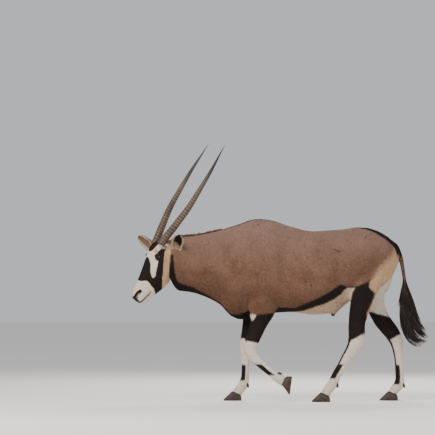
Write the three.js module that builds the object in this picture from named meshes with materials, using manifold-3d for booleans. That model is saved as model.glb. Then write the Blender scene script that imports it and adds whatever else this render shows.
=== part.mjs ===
// A gemsbok bull at life size, walking with its head low and turned a little to its left.
// Sizes are millimetres and +Z is up. The nose points to -X, and the left side faces -Y.
// It stands on the right forefoot and both hind feet, and the left forefoot swings forward.
import * as THREE from "three";
import { mergeVertices } from "three/addons/utils/BufferGeometryUtils.js";
import Module from "manifold-3d";

const wasm = await Module();
wasm.setup();

// Driving dimensions
const GAP = 0.3; // between neighbouring pieces
const LEFT = -1;
const RIGHT = 1;

const HEAD_PITCH = 65.4; // degrees that the face points below the horizon
const HEAD_TURN = 34.7; // degrees to the animal's left
const HEAD_ROLL = 4.3; // degrees, left side down
const BROW = [-826, -95, 1042]; // the middle of the brow, from which the head is laid out

const HORN_LENGTH = 798;
const HORN_SWEEP = 8.7; // degrees that the horns lie behind the line of the face
const HORN_ROOT = [-48, -34]; // along the face and above it, from the brow
const HORN_RINGS = 14;
const HORN_RING_SHARE = 0.56; // of the horn's length that carries rings
const HORN_RIDGE = { out: 1.6, in: -1.2, fade: 0.6 }; // a ring's crest and groove, and their loss upwards
const HORN_SIDES = 10;
// Horn: share of the length, distance from the middle of the head, and radius.
const HORN = [
  [-0.05, 34, 27],
  [0, 38, 26.5],
  [0.15, 70, 24.5],
  [0.4, 110, 19.5],
  [0.7, 115, 12],
  [0.92, 102, 4.5],
  [1, 97, 1.2],
];
const HORN_SMOOTH_PLACES = [0.62, 0.7, 0.78, 0.85, 0.91, 0.96, 1];

const EYE_RADIUS = 19;
const EYE_CENTRE = [52, -42, 55]; // along, above and beside the face
const LID = 5;
const LID_BULGE = 1.15; // how much longer than high the lids are
// The almond between the lids: half its length and height, how its corners sharpen, and its slant.
const LID_OPENING = { half: 17, high: 11.5, sharp: 1.3, slant: 0.35, corners: 9, from: 7, to: 60 };

const NOSTRIL = { centre: [351, -20, 27], sizes: [15, 6, 9], slant: -0.35, upward: 0.7 };

// The line between the lips: along the face from the brow, and above it.
const MOUTH = [
  [272, -115],
  [306, -106],
  [345, -89],
  [396, -68],
];
const MOUTH_SLIT = 3.6;
const MOUTH_DEPTH = 9;
const MOUTH_FRONT_DEPTH = 26; // at the front, from beyond the lips
const MOUTH_BLADE = 80; // half width of the blade that makes the slit
const MOUTH_LEAST = 4; // half width of the part between the slits

const EAR_LENGTH = 185;
const EAR_HALF_WIDTH = 44;
const EAR_DEPTH = 30;
const EAR_WALL = 4;
const EAR_CUP_FROM = 0.32; // share of the length where the cup begins
const EAR_FRONT = 2; // how far an ear's front bulges
const EAR_CUP_FRONT = 20; // how far the cup's shape stands out of the front
const EAR_LEAST = 1; // the least half width and depth of a leaf
const EAR_SIDES = 14;
// Ears: the root, then the ways to the tip and out of the opening, along, above and beside the head.
const EARS = {
  [LEFT]: { root: [-27, -136, 75], towards: [-0.5, 0.55, 0.69], opening: [0.81, 0.33, 0.48] },
  [RIGHT]: { root: [8, -101, 70], towards: [-0.35, 0.61, 0.71], opening: [0.5, 0.8, 0] },
};

const CLAW_CLEFT = 2.5; // from the middle of a foot to its claws
const CLAW_SPLAY = 4; // degrees
const CLAW_CROWN = 0.64; // share of a claw's height that lies above its widest place
const DEWCLAW = { sizes: [17, 9, 11], apart: 15, out: 0.85 }; // out: share of the fetlock's depth

// Trunk and neck, from the throat to the rump: x, top, bottom, half width, height share of the widest
// place, narrowing towards the top and towards the bottom, and the shift of the middle to the right.
const TRUNK = [
  [-716, 1068, 862, 44, 0.5, 0.1, 0.1, -40],
  [-700, 1092, 806, 66, 0.5, 0.1, 0.1, -40],
  [-655, 1104, 748, 84, 0.5, 0.15, 0.15, -36],
  [-560, 1117, 732, 98, 0.48, 0.25, 0.2, -24],
  [-470, 1132, 702, 110, 0.47, 0.3, 0.25, -13],
  [-371, 1156, 649, 126, 0.46, 0.35, 0.3, -4],
  [-298, 1178, 574, 145, 0.46, 0.45, 0.4, 0],
  [-236, 1198, 551, 166, 0.46, 0.55, 0.4, 0],
  [-169, 1222, 556, 186, 0.46, 0.6, 0.35, 0],
  [-105, 1230, 570, 200, 0.46, 0.6, 0.25, 0],
  [-34, 1222, 590, 211, 0.45, 0.5, 0.1, 0],
  [112, 1177, 599, 225, 0.43, 0.3, 0, 0],
  [256, 1147, 582, 236, 0.42, 0.2, 0, 0],
  [398, 1155, 595, 229, 0.43, 0.15, 0, 0],
  [483, 1163, 655, 218, 0.45, 0.15, 0, 0],
  [540, 1172, 692, 209, 0.48, 0.15, 0, 0],
  [608, 1171, 724, 197, 0.52, 0.12, 0, 0],
  [675, 1155, 750, 180, 0.55, 0.1, 0, 0],
  [742, 1122, 784, 150, 0.56, 0.05, 0, 0],
  [790, 1086, 838, 108, 0.56, 0, 0, 0],
  [822, 1042, 900, 66, 0.55, 0, 0, 0],
  [835, 1004, 944, 26, 0.5, 0, 0, 0],
];
const TRUNK_SIDES = 28;
const TRUNK_STEP = 62;
const NECK_END = -345; // where the neck is parted from the chest

// Muscle and bone under the skin of the trunk: x, z, reach along x, reach along z, height, and the side
// (0 for both).
const SWELLS = [
  [-128, 940, 95, 190, 13, 0], // shoulder blade
  [-218, 768, 60, 85, 20, 0], // point of the shoulder
  [-60, 745, 85, 80, 10, 0], // upper arm
  [4, 668, 52, 55, 18, LEFT], // elbow of the swinging leg
  [-80, 655, 55, 55, 14, RIGHT], // elbow of the standing leg
  [70, 915, 50, 170, -9, 0], // hollow behind the shoulder
  [520, 1102, 60, 50, 9, 0], // point of the hip
  [462, 975, 75, 110, -15, 0], // flank
  [650, 925, 120, 150, 15, 0], // thigh
  [-560, 838, 170, 45, -6, 0], // jugular groove
  [-620, 1020, 120, 60, 7, 0], // nape
];

// Sheath under the belly: x, height, side, half depth, half width.
const SHEATH = [
  [446, 662, 0, 30, 24],
  [416, 626, 0, 26, 22],
  [394, 598, 0, 19, 16],
  [381, 577, 0, 8, 8],
];

// Head: along the face from the brow, top, bottom, half width, height share of the widest place, and
// narrowing towards the top and towards the bottom.
const HEAD = [
  [-92, -66, -132, 34, 0.5, 0.1, 0.1],
  [-66, -34, -186, 60, 0.5, 0.05, 0.1],
  [-25, -8, -208, 71, 0.52, 0, 0.15],
  [15, 3, -221, 74, 0.58, 0, 0.2],
  [55, 5, -231, 72, 0.62, 0, 0.25],
  [100, 4, -239, 66, 0.62, 0.05, 0.3],
  [150, 3, -237, 58, 0.62, 0.15, 0.35],
  [200, 2, -218, 50, 0.6, 0.2, 0.35],
  [250, 1, -189, 43, 0.58, 0.2, 0.3],
  [290, 1, -164, 40, 0.58, 0.15, 0.3],
  [322, 2, -147, 42, 0.6, 0.05, 0.3],
  [346, -5, -135, 42, 0.62, 0, 0.3],
  [364, -18, -123, 36, 0.6, 0, 0.25],
  [376, -38, -108, 25, 0.58, 0, 0.2],
  [381, -58, -88, 10, 0.5, 0, 0],
];
const HEAD_SIDES = 26;
const HEAD_STEP = 30;

// Ear: share of the length, share of the half width, share of the depth.
const EAR = [
  [0, 0.42, 0.85],
  [0.12, 0.52, 0.95],
  [0.3, 0.85, 1],
  [0.5, 1, 0.95],
  [0.7, 0.96, 0.8],
  [0.86, 0.72, 0.55],
  [0.96, 0.36, 0.25],
  [1, 0.08, 0.08],
];

// Each limb runs down a line of places: x, height, distance to its side of the middle, half depth from
// front to back, half width.
const FORELEG_SWINGING = [
  [-58, 790, 104, 60, 40],
  [-64, 725, 110, 94, 55],
  [-76, 655, 112, 93, 58],
  [-96, 585, 110, 80, 52],
  [-118, 508, 108, 57, 45],
  [-139, 448, 106, 49, 41],
  [-159, 402, 105, 45, 39],
  [-170, 354, 104, 44, 39],
  [-146, 302, 103, 36, 33],
  [-94, 251, 102, 28, 27],
  [-37, 203, 101, 27, 26],
  [10, 167, 101, 32, 31],
  [43, 144, 101, 33, 33],
  [72, 124, 101, 30, 34],
];
const FORELEG_STANDING = [
  [-86, 790, 104, 60, 40],
  [-96, 725, 110, 94, 55],
  [-116, 650, 112, 89, 58],
  [-142, 578, 110, 74, 51],
  [-165, 502, 107, 58, 44],
  [-186, 432, 104, 45, 39],
  [-194, 378, 103, 43, 38],
  [-197, 334, 102, 38, 36],
  [-199, 290, 102, 29, 29],
  [-199, 223, 101, 26, 26],
  [-201, 162, 101, 27, 27],
  [-211, 114, 102, 33, 31],
  [-234, 80, 102, 33, 33],
  [-258, 48, 103, 29, 35],
];
const HINDLEG_FORWARD = [
  [664, 985, 104, 50, 40],
  [648, 920, 112, 98, 62],
  [616, 838, 117, 118, 72],
  [588, 732, 118, 90, 66],
  [572, 648, 118, 74, 57],
  [556, 580, 116, 66, 50],
  [546, 513, 114, 58, 45],
  [546, 452, 112, 57, 41],
  [539, 398, 111, 53, 37],
  [512, 344, 111, 43, 33],
  [481, 297, 111, 37, 30],
  [445, 236, 111, 32, 27],
  [409, 176, 112, 31, 28],
  [388, 127, 112, 35, 32],
  [360, 88, 112, 33, 34],
  [334, 52, 113, 29, 36],
];
const HINDLEG_BACK = [
  [722, 985, 104, 50, 40],
  [718, 915, 112, 90, 60],
  [702, 820, 117, 96, 69],
  [678, 722, 118, 73, 63],
  [686, 641, 118, 64, 56],
  [716, 567, 116, 61, 49],
  [763, 500, 114, 57, 44],
  [806, 441, 112, 51, 40],
  [827, 394, 111, 45, 36],
  [836, 338, 111, 36, 32],
  [842, 277, 111, 30, 29],
  [846, 206, 111, 29, 28],
  [848, 150, 112, 30, 28],
  [844, 112, 112, 35, 32],
  [822, 82, 112, 33, 34],
  [796, 50, 113, 29, 36],
];
const LIMB_SIDES = 12;
const LIMB_STEP = 60;

// One claw: along from the heel, height, half width.
const CLAW = [
  [0, 30, 11],
  [8, 42, 17],
  [34, 56, 21],
  [58, 62, 21],
  [78, 46, 19],
  [98, 27, 14],
  [112, 14, 8],
  [119, 6, 3],
];
const CLAW_SIDES = 10;
const CLAW_LENGTH = CLAW.at(-1)[0];

// Tail: x, height, side, half depth, half width. The dock hangs clear of the thighs. The tassel is a
// short core with locks that spread behind the hocks.
const DOCK = [
  [770, 1092, 0, 26, 30],
  [812, 1056, 0, 21, 24],
  [841, 999, 0, 17, 18],
  [857, 925, 0, 15, 15],
  [869, 850, 0, 13, 13],
  [876, 792, 0, 12, 12],
];
const TASSEL_CORE = [
  [876.1, 791.6, 0, 12, 12],
  [877, 745, 0, 21, 18],
  [882, 690, 0, 28, 22],
  [890, 635, 0, 26, 20],
  [898, 595, 0, 8, 8],
];
const TASSEL_SPREAD = [
  [876, 800, 0, 13, 13],
  [876, 745, 0, 32, 26],
  [880, 660, 0, 54, 38],
  [891, 583, 0, 66, 44],
  [916, 500, 0, 84, 46],
  [948, 430, 0, 90, 42],
  [966, 385, 0, 82, 36],
];
const TASSEL_LOCKS = 19;
const TASSEL_LOCK = { width: 36, thick: 8, length: 310, more: 70, shorter: 90 };
const TASSEL_TIERS = { from: 26, over: 120 }; // the run of the core that carries the locks' roots
const LOCK_TURN = 2.4; // radians round the core from one lock to the next
const TAIL_SIDES = 12;
const SHEATH_SIDES = 8;

// A lock: share of its length, share of its width, and share of its thickness.
const LOCK = [
  [0, 0.75, 0.75],
  [0.35, 1, 1],
  [0.75, 0.65, 0.65],
  [1, 0.06, 0.14],
];

// Mane: short locks along the crest of the neck, behind the ears, that lie backwards.
const MANE = {
  from: -640,
  to: -372,
  spacing: 19,
  length: 74,
  rise: 9,
  root: -11,
  width: 17,
  thick: 4,
  apart: 5,
  lean: 0.15,
  short: 2,
};

const DEGREES = Math.PI / 180;

const COLOURS = {
  coat: new THREE.MeshStandardMaterial({ color: 0x9a7565, roughness: 0.85 }),
  dark: new THREE.MeshStandardMaterial({ color: 0x1f1712, roughness: 0.8 }),
  white: new THREE.MeshStandardMaterial({ color: 0xd8cfc2, roughness: 0.85 }),
  horn: new THREE.MeshStandardMaterial({ color: 0x51463a, roughness: 0.55 }),
  hoof: new THREE.MeshStandardMaterial({ color: 0x3a2a22, roughness: 0.5 }),
  eye: new THREE.MeshStandardMaterial({ color: 0x120c08, roughness: 0.08 }),
};

// Smooth values at a place along a table whose first column rises. The slopes are those that never
// run past a row's own value.
function valuesAt(rows, at) {
  const last = rows.length - 1;
  if (at <= rows[0][0]) return rows[0].slice(1);
  if (at >= rows[last][0]) return rows[last].slice(1);
  let i = 0;
  while (at > rows[i + 1][0]) i++;
  const span = (k) => rows[k + 1][0] - rows[k][0];
  const rise = (k, column) => (rows[k + 1][column] - rows[k][column]) / span(k);
  const slope = (k, column) => {
    if (k === 0) return rise(0, column);
    if (k === last) return rise(last - 1, column);
    const before = rise(k - 1, column);
    const after = rise(k, column);
    if (before * after <= 0) return 0;
    const heavy = 2 * span(k) + span(k - 1);
    const light = span(k) + 2 * span(k - 1);
    return (heavy + light) / (heavy / before + light / after);
  };
  const h = span(i);
  const t = (at - rows[i][0]) / h;
  return rows[i].slice(1).map((value, n) => {
    const column = n + 1;
    return (
      value * (1 + 2 * t) * (1 - t) ** 2 +
      slope(i, column) * h * t * (1 - t) ** 2 +
      rows[i + 1][column] * t * t * (3 - 2 * t) -
      slope(i + 1, column) * h * t * t * (1 - t)
    );
  });
}

// Places closer than this share of a table's length are one place.
const LEAST_STEP = 1 / 300;

// Places along a table: its rows, and between two rows as many more as keep the steps under a reach.
function placesAlong(rows, reach, from = rows[0][0], to = rows.at(-1)[0]) {
  const least = (to - from) * LEAST_STEP;
  const places = [from];
  for (let i = 0; i + 1 < rows.length; i++) {
    const span = rows[i + 1][0] - rows[i][0];
    const steps = Math.ceil(span / reach);
    for (let k = 0; k < steps; k++) {
      const at = rows[i][0] + (span * k) / steps;
      if (at > from + least && at < to - least) places.push(at);
    }
  }
  return [...places, to];
}

// A body section as points [up, side]: widest at a share of its height, narrowed towards top and bottom.
function section([top, bottom, half, widest, ridge, keel], sides, grow) {
  const middle = bottom + widest * (top - bottom);
  return Array.from({ length: sides }, (_, i) => {
    const angle = (2 * Math.PI * i) / sides;
    const up = Math.cos(angle);
    const out = Math.sin(angle);
    const reach = up > 0 ? top - middle + grow : middle - bottom + grow;
    const narrowed = Math.abs(out) ** (1 + (up > 0 ? ridge : keel));
    return [middle + reach * up, Math.sign(out) * narrowed * (half + grow)];
  });
}

// A closed body from rings of points, its ends closed by fans.
function solidFromRings(rings) {
  const sides = rings[0].length;
  const points = rings.flat();
  const faces = [];
  for (let r = 0; r + 1 < rings.length; r++)
    for (let i = 0; i < sides; i++) {
      const a = r * sides + i;
      const b = r * sides + ((i + 1) % sides);
      faces.push(a, b, b + sides, a, b + sides, a + sides);
    }
  for (const end of [0, rings.length - 1]) {
    const centre = points.length;
    points.push([0, 1, 2].map((k) => rings[end].reduce((sum, p) => sum + p[k], 0) / sides));
    for (let i = 0; i < sides; i++) {
      const edge = [end * sides + i, end * sides + ((i + 1) % sides)];
      faces.push(centre, ...(end ? edge : edge.reverse()));
    }
  }
  return solidFromFaces(points, faces);
}

function solidFromFaces(points, faces) {
  const mesh = (triVerts) =>
    new wasm.Manifold(
      new wasm.Mesh({
        numProp: 3,
        vertProperties: new Float32Array(points.flat()),
        triVerts: new Uint32Array(triVerts),
      }),
    );
  const made = mesh(faces);
  if (made.volume() > 0) return made;
  const turned = [];
  for (let i = 0; i < faces.length; i += 3) turned.push(faces[i], faces[i + 2], faces[i + 1]);
  return mesh(turned);
}

const MERGE = 1e-3; // points closer than this are one

function solidFromGeometry(geometry) {
  const bare = geometry.clone();
  bare.deleteAttribute("normal");
  bare.deleteAttribute("uv");
  const merged = mergeVertices(bare, MERGE);
  const position = merged.attributes.position;
  const points = Array.from({ length: position.count }, (_, i) => [
    position.getX(i),
    position.getY(i),
    position.getZ(i),
  ]);
  return solidFromFaces(points, [...merged.index.array]);
}

const join = (solids) => solids.reduce((all, one) => all.add(one));
const cut = (solid, ...tools) => tools.reduce((left, tool) => left.subtract(tool), solid);

// A node keeps only its largest closed body.
function largest(solid) {
  return solid.decompose().reduce((best, one) => (one.volume() > best.volume() ? one : best));
}

// A seeded draw from 0 to 1.
const DRAW = { factor: 1664525, step: 1013904223, range: 2 ** 32 };

function drawsFrom(seed) {
  let state = seed;
  return () => {
    state = (DRAW.factor * state + DRAW.step) % DRAW.range;
    return state / DRAW.range;
  };
}

// A flat lock of hair on a curve from its root by way of its bend to its tip. Its broad faces look
// along facing, and it tapers to its tip.
function lock([root, bend, tip], facing, { width, thick }) {
  const course = new THREE.QuadraticBezierCurve3(root, bend, tip);
  const rings = LOCK.map(([share, wide, deep]) => {
    const line = course.getTangent(share);
    const across = line.clone().cross(facing).setLength((wide * width) / 2);
    const out = across.clone().cross(line).setLength((deep * thick) / 2);
    const at = course.getPoint(share);
    return [across, out, across.clone().negate(), out.clone().negate()].map((p) =>
      p.add(at).toArray(),
    );
  });
  return solidFromRings(rings);
}

// The trunk's rings, with the swells of its muscles.
function trunkRing(x, grow = 0) {
  const values = valuesAt(TRUNK, x);
  const shift = values[6];
  return section(values, TRUNK_SIDES, grow).map(([up, side]) => {
    const rise = SWELLS.reduce((sum, [sx, sz, reachX, reachZ, height, on]) => {
      if (on && Math.sign(side) !== on) return sum;
      const away = ((x - sx) / reachX) ** 2 + ((up - sz) / reachZ) ** 2;
      return sum + height * Math.exp(-away);
    }, 0);
    const flank = Math.min(1, Math.abs(side) / values[2]);
    return [x, side + Math.sign(side) * rise * flank + shift, up];
  });
}

function trunkSolid(from, to, grow = 0) {
  return solidFromRings(placesAlong(TRUNK, TRUNK_STEP, from, to).map((x) => trunkRing(x, grow)));
}

// The head's own axes: down the face, up from it, and to the animal's left.
function headFrame() {
  const heading = new THREE.Vector3(-1, 0, 0).applyAxisAngle(
    new THREE.Vector3(0, 0, 1),
    HEAD_TURN * DEGREES,
  );
  const left = new THREE.Vector3(0, 0, 1).cross(heading);
  const along = heading.clone().applyAxisAngle(left, HEAD_PITCH * DEGREES);
  const above = new THREE.Vector3(0, 0, 1).applyAxisAngle(left, HEAD_PITCH * DEGREES);
  return [along, above, left].map((axis) => axis.applyAxisAngle(heading, -HEAD_ROLL * DEGREES));
}

const [FACE, DORSAL, HEAD_LEFT] = headFrame();

function onHead(along, above, left) {
  return new THREE.Vector3(...BROW)
    .addScaledVector(FACE, along)
    .addScaledVector(DORSAL, above)
    .addScaledVector(HEAD_LEFT, left)
    .toArray();
}

function headShape(grow = 0) {
  const rings = placesAlong(HEAD, HEAD_STEP).map((at, i, all) => {
    const end = i === 0 ? -grow : i === all.length - 1 ? grow : 0;
    return section(valuesAt(HEAD, at), HEAD_SIDES, grow).map(([up, side]) =>
      onHead(at + end, up, side),
    );
  });
  return solidFromRings(rings);
}

// A ball, squashed and turned: its three half sizes run along the axes given.
function ball(centre, axes, sizes, columns = 16, rows = 10) {
  const geometry = new THREE.SphereGeometry(1, columns, rows);
  const vectors = axes.map((axis, i) => new THREE.Vector3(...axis).setLength(sizes[i]));
  geometry.applyMatrix4(new THREE.Matrix4().makeBasis(...vectors).setPosition(...centre));
  return solidFromGeometry(geometry);
}

const HEAD_AXES = [FACE, DORSAL, HEAD_LEFT].map((axis) => axis.toArray());

// The place of a head's paired feature: side is LEFT or RIGHT.
function paired([along, above, beside], side) {
  return onHead(along, above, -side * beside);
}

function eyeball(side, grow = 0) {
  const radius = EYE_RADIUS + grow;
  return ball(paired(EYE_CENTRE, side), HEAD_AXES, [radius, radius, radius], 14, 9);
}

// The opening between the lids, an almond that runs out sideways from the eye's middle.
function lidOpening(side) {
  const { half, high, sharp, slant, corners, from, to } = LID_OPENING;
  const [along, above, beside] = EYE_CENTRE;
  const rim = (out) =>
    Array.from({ length: 2 * corners }, (_, i) => {
      const angle = (Math.PI * i) / corners;
      const forward = half * Math.cos(angle);
      const bulge = Math.sign(Math.sin(angle)) * Math.abs(Math.sin(angle)) ** sharp * high;
      return paired([along + forward, above + bulge + slant * forward, beside + out], side);
    });
  return solidFromRings([rim(from), rim(to)]);
}

function nostril(side) {
  const { centre, sizes, slant, upward } = NOSTRIL;
  const along = FACE.clone().addScaledVector(DORSAL, slant).normalize();
  const beside = HEAD_LEFT.clone().multiplyScalar(-side).addScaledVector(DORSAL, upward).normalize();
  const across = along.clone().cross(beside).normalize();
  const axes = [along.toArray(), across.toArray(), beside.toArray()];
  return ball(paired(centre, side), axes, sizes, 10, 8);
}

// The slit between the lips: a thin blade that reaches past the muzzle, less its own middle.
function mouthSlit() {
  const blade = (half, beside, short) =>
    solidFromRings(
      MOUTH.map(([along, above], i) => {
        const place = along - (i === MOUTH.length - 1 ? short : 0);
        const out = beside ?? Math.max(MOUTH_LEAST, valuesAt(HEAD, along)[2] - MOUTH_DEPTH);
        return [
          [half, out],
          [half, -out],
          [-half, -out],
          [-half, out],
        ].map(([up, side]) => onHead(place, above + up, side));
      }),
    );
  return blade(MOUTH_SLIT / 2, MOUTH_BLADE, 0).subtract(blade(MOUTH_SLIT, undefined, MOUTH_FRONT_DEPTH));
}

function earAxes(side) {
  const { root, towards, opening } = EARS[side];
  const turned = ([along, above, beside]) =>
    new THREE.Vector3()
      .addScaledVector(FACE, along)
      .addScaledVector(DORSAL, above)
      .addScaledVector(HEAD_LEFT, -side * beside);
  const tip = turned(towards).normalize();
  const open = turned(opening);
  open.addScaledVector(tip, -open.dot(tip)).normalize();
  return { root: new THREE.Vector3(...paired(root, side)), tip, open, across: tip.clone().cross(open) };
}

// A leaf that is round behind. Its front is nearly flat on the ear and stands well out on the cup.
function earLeaf(side, wall, front, from) {
  const { root, tip, open, across } = earAxes(side);
  const rings = placesAlong(EAR, EAR.at(-1)[0], from).map((share) => {
    const [width, depth] = valuesAt(EAR, share);
    const centre = root.clone().addScaledVector(tip, share * EAR_LENGTH);
    return Array.from({ length: EAR_SIDES }, (_, i) => {
      const angle = (2 * Math.PI * i) / EAR_SIDES;
      const beside = Math.max(EAR_LEAST, width * EAR_HALF_WIDTH - wall) * Math.sin(angle);
      const reach = Math.max(EAR_LEAST, depth * EAR_DEPTH - wall);
      const out = Math.cos(angle) > 0 ? front * Math.cos(angle) : reach * Math.cos(angle);
      return centre.clone().addScaledVector(across, beside).addScaledVector(open, out).toArray();
    });
  });
  return solidFromRings(rings);
}

// A horn's rings of points. Every second ring of the lower part is a crest, and the others are grooves.
function horn(side, grow = 0) {
  const back = new THREE.Vector3()
    .addScaledVector(FACE, -Math.cos(HORN_SWEEP * DEGREES))
    .addScaledVector(DORSAL, -Math.sin(HORN_SWEEP * DEGREES));
  const out = HEAD_LEFT.clone().multiplyScalar(-side);
  const across = FACE.clone().cross(back).normalize();
  const deep = across.clone().cross(back).normalize();
  const ridges = Array.from({ length: 2 * HORN_RINGS - 1 }, (_, i) => {
    const done = (i + 1) / (2 * HORN_RINGS);
    const height = i % 2 ? HORN_RIDGE.in : HORN_RIDGE.out;
    return [done * HORN_RING_SHARE, height * (1 - HORN_RIDGE.fade * done)];
  });
  const places = [
    [HORN[0][0] - grow / HORN_LENGTH, 0],
    [0, 0],
    ...ridges,
    [HORN_RING_SHARE, 0],
    ...HORN_SMOOTH_PLACES.map((share) => [share, 0]),
  ];
  const rings = places.map(([share, ridge]) => {
    const [beside, radius] = valuesAt(HORN, share);
    const reach = radius + grow + ridge;
    const centre = new THREE.Vector3(...onHead(...HORN_ROOT, 0))
      .addScaledVector(back, share * HORN_LENGTH)
      .addScaledVector(out, beside);
    return Array.from({ length: HORN_SIDES }, (_, i) => {
      const angle = (2 * Math.PI * i) / HORN_SIDES;
      return centre
        .clone()
        .addScaledVector(across, reach * Math.cos(angle))
        .addScaledVector(deep, reach * Math.sin(angle))
        .toArray();
    });
  });
  return solidFromRings(rings);
}

// A limb's line as a table by the length run so far, on one side of the body.
function limbTable(places, side) {
  let run = 0;
  return places.map(([x, z, out, depth, width], i) => {
    if (i) run += Math.hypot(x - places[i - 1][0], z - places[i - 1][1]);
    return [run, x, side * out, z, depth, width];
  });
}

// A limb's section stands square to its line, whose direction is taken over a short stretch.
const LINE_REACH = 12;

function limbRing(table, at, sides, grow, onward = 0) {
  const [x, y, z, depth, width] = valuesAt(table, at);
  const end = table.at(-1)[0];
  const before = valuesAt(table, Math.max(0, at - LINE_REACH));
  const after = valuesAt(table, Math.min(end, at + LINE_REACH));
  const line = new THREE.Vector3(...[0, 1, 2].map((k) => after[k] - before[k])).normalize();
  const front = new THREE.Vector3(0, 1, 0).cross(line).normalize();
  const across = line.clone().cross(front);
  return Array.from({ length: sides }, (_, i) => {
    const angle = (2 * Math.PI * i) / sides;
    return new THREE.Vector3(x, y, z)
      .addScaledVector(line, onward)
      .addScaledVector(front, (depth + grow) * Math.cos(angle))
      .addScaledVector(across, (width + grow) * Math.sin(angle))
      .toArray();
  });
}

function limb(table, from, to, sides = LIMB_SIDES, grow = 0) {
  const rings = placesAlong(table, LIMB_STEP, from, to).map((at, i, all) => {
    const onward = i === 0 ? -grow : i === all.length - 1 ? grow : 0;
    return limbRing(table, at, sides, grow, onward);
  });
  return solidFromRings(rings);
}

// A claw stands on its flat sole. The foot's place is the middle of its heel, and lean turns the
// foot's toe down from the level.
function claw(foot, side, which, grow = 0) {
  const rings = CLAW.map(([along, height, half], n) => {
    const end = n === 0 ? -grow : n === CLAW.length - 1 ? grow : 0;
    return Array.from({ length: CLAW_SIDES }, (_, i) => {
      const angle = (2 * Math.PI * i) / CLAW_SIDES;
      const up = Math.max(0, 1 - CLAW_CROWN + CLAW_CROWN * Math.cos(angle));
      const out = Math.sin(angle) * (half + grow);
      return new THREE.Vector3(-along - end, out, up * (height + grow) - grow);
    });
  });
  const widest = Math.max(...CLAW.map((row) => row[2]));
  const splay = which * CLAW_SPLAY * DEGREES;
  const lean = foot.lean * DEGREES;
  const place = new THREE.Matrix4()
    .makeTranslation(foot.heel[0], side * foot.heel[1], foot.heel[2])
    .multiply(new THREE.Matrix4().makeRotationY(-lean))
    .multiply(new THREE.Matrix4().makeTranslation(0, which * (widest + CLAW_CLEFT), 0))
    .multiply(new THREE.Matrix4().makeRotationZ(-splay));
  return solidFromRings(rings.map((ring) => ring.map((p) => p.applyMatrix4(place).toArray())));
}

// Two small dewclaws behind a fetlock.
function dewclaws(table, at, side, behind) {
  const [x, y, z, depth] = valuesAt(table, at);
  const reach = depth * DEWCLAW.out;
  const beside = new THREE.Vector3(0, 1, 0);
  return [-1, 1].map((which) => {
    const centre = [x + behind[0] * reach, y + which * DEWCLAW.apart, z + behind[1] * reach];
    const down = new THREE.Vector3(behind[0] / 2, 0, behind[1] / 2 - 1).normalize();
    const axes = [down.toArray(), beside.toArray(), down.clone().cross(beside).toArray()];
    return ball(centre, axes, DEWCLAW.sizes, 8, 6);
  });
}

const LEGS = {
  foreleg_left: {
    places: FORELEG_SWINGING,
    side: LEFT,
    parted: 3,
    joint: 7,
    fetlock: 11,
    behind: [0.8, 0.7],
    foot: { heel: [112, 101, 167], lean: 82.6 },
  },
  foreleg_right: {
    places: FORELEG_STANDING,
    side: RIGHT,
    parted: 3,
    joint: 6,
    fetlock: 11,
    behind: [1, -0.3],
    foot: { heel: [-228, 103, 0], lean: 0 },
  },
  hindleg_left: {
    places: HINDLEG_FORWARD,
    side: LEFT,
    parted: 4,
    joint: 7,
    fetlock: 13,
    behind: [1, -0.3],
    foot: { heel: [364, 113, 0], lean: 0 },
  },
  hindleg_right: {
    places: HINDLEG_BACK,
    side: RIGHT,
    parted: 4,
    joint: 7,
    fetlock: 13,
    behind: [1, -0.3],
    foot: { heel: [832, 113, 0], lean: 0 },
  },
};

const gemsbok = new THREE.Group();

function addNode(name, solid, material) {
  const { numProp, vertProperties, triVerts, numVert } = largest(solid).getMesh();
  const position = new Float32Array(3 * numVert);
  for (let i = 0; i < numVert; i++)
    position.set(vertProperties.subarray(i * numProp, i * numProp + 3), 3 * i);
  const geometry = new THREE.BufferGeometry()
    .setAttribute("position", new THREE.BufferAttribute(position, 3))
    .setIndex(new THREE.BufferAttribute(triVerts, 1));
  geometry.computeVertexNormals();
  const mesh = new THREE.Mesh(geometry, material);
  mesh.name = name;
  gemsbok.add(mesh);
}

// Legs, each in an upper and a lower length with its two claws
function buildLegs() {
  const shoulders = [];
  const trunk = trunkSolid(TRUNK[0][0], TRUNK.at(-1)[0], GAP);
  for (const [name, leg] of Object.entries(LEGS)) {
    const table = limbTable(leg.places, leg.side);
    const parted = table[leg.parted][0];
    const joint = table[leg.joint][0];
    const end = table.at(-1)[0];
    shoulders.push(limb(table, 0, parted));
    addNode(`${name}_upper`, cut(limb(table, parted + GAP, joint), trunk), COLOURS.dark);
    const claws = [-1, 1].map((which) => claw(leg.foot, leg.side, which, GAP));
    const shank = limb(table, joint + GAP, end);
    const lower = join([shank, ...dewclaws(table, table[leg.fetlock][0], leg.side, leg.behind)]);
    addNode(`${name}_lower`, cut(lower, ...claws), COLOURS.white);
    for (const which of [-1, 1]) {
      const place = which * leg.side > 0 ? "outer" : "inner";
      addNode(`${name}_claw_${place}`, claw(leg.foot, leg.side, which), COLOURS.hoof);
    }
  }
  return shoulders;
}

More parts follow.
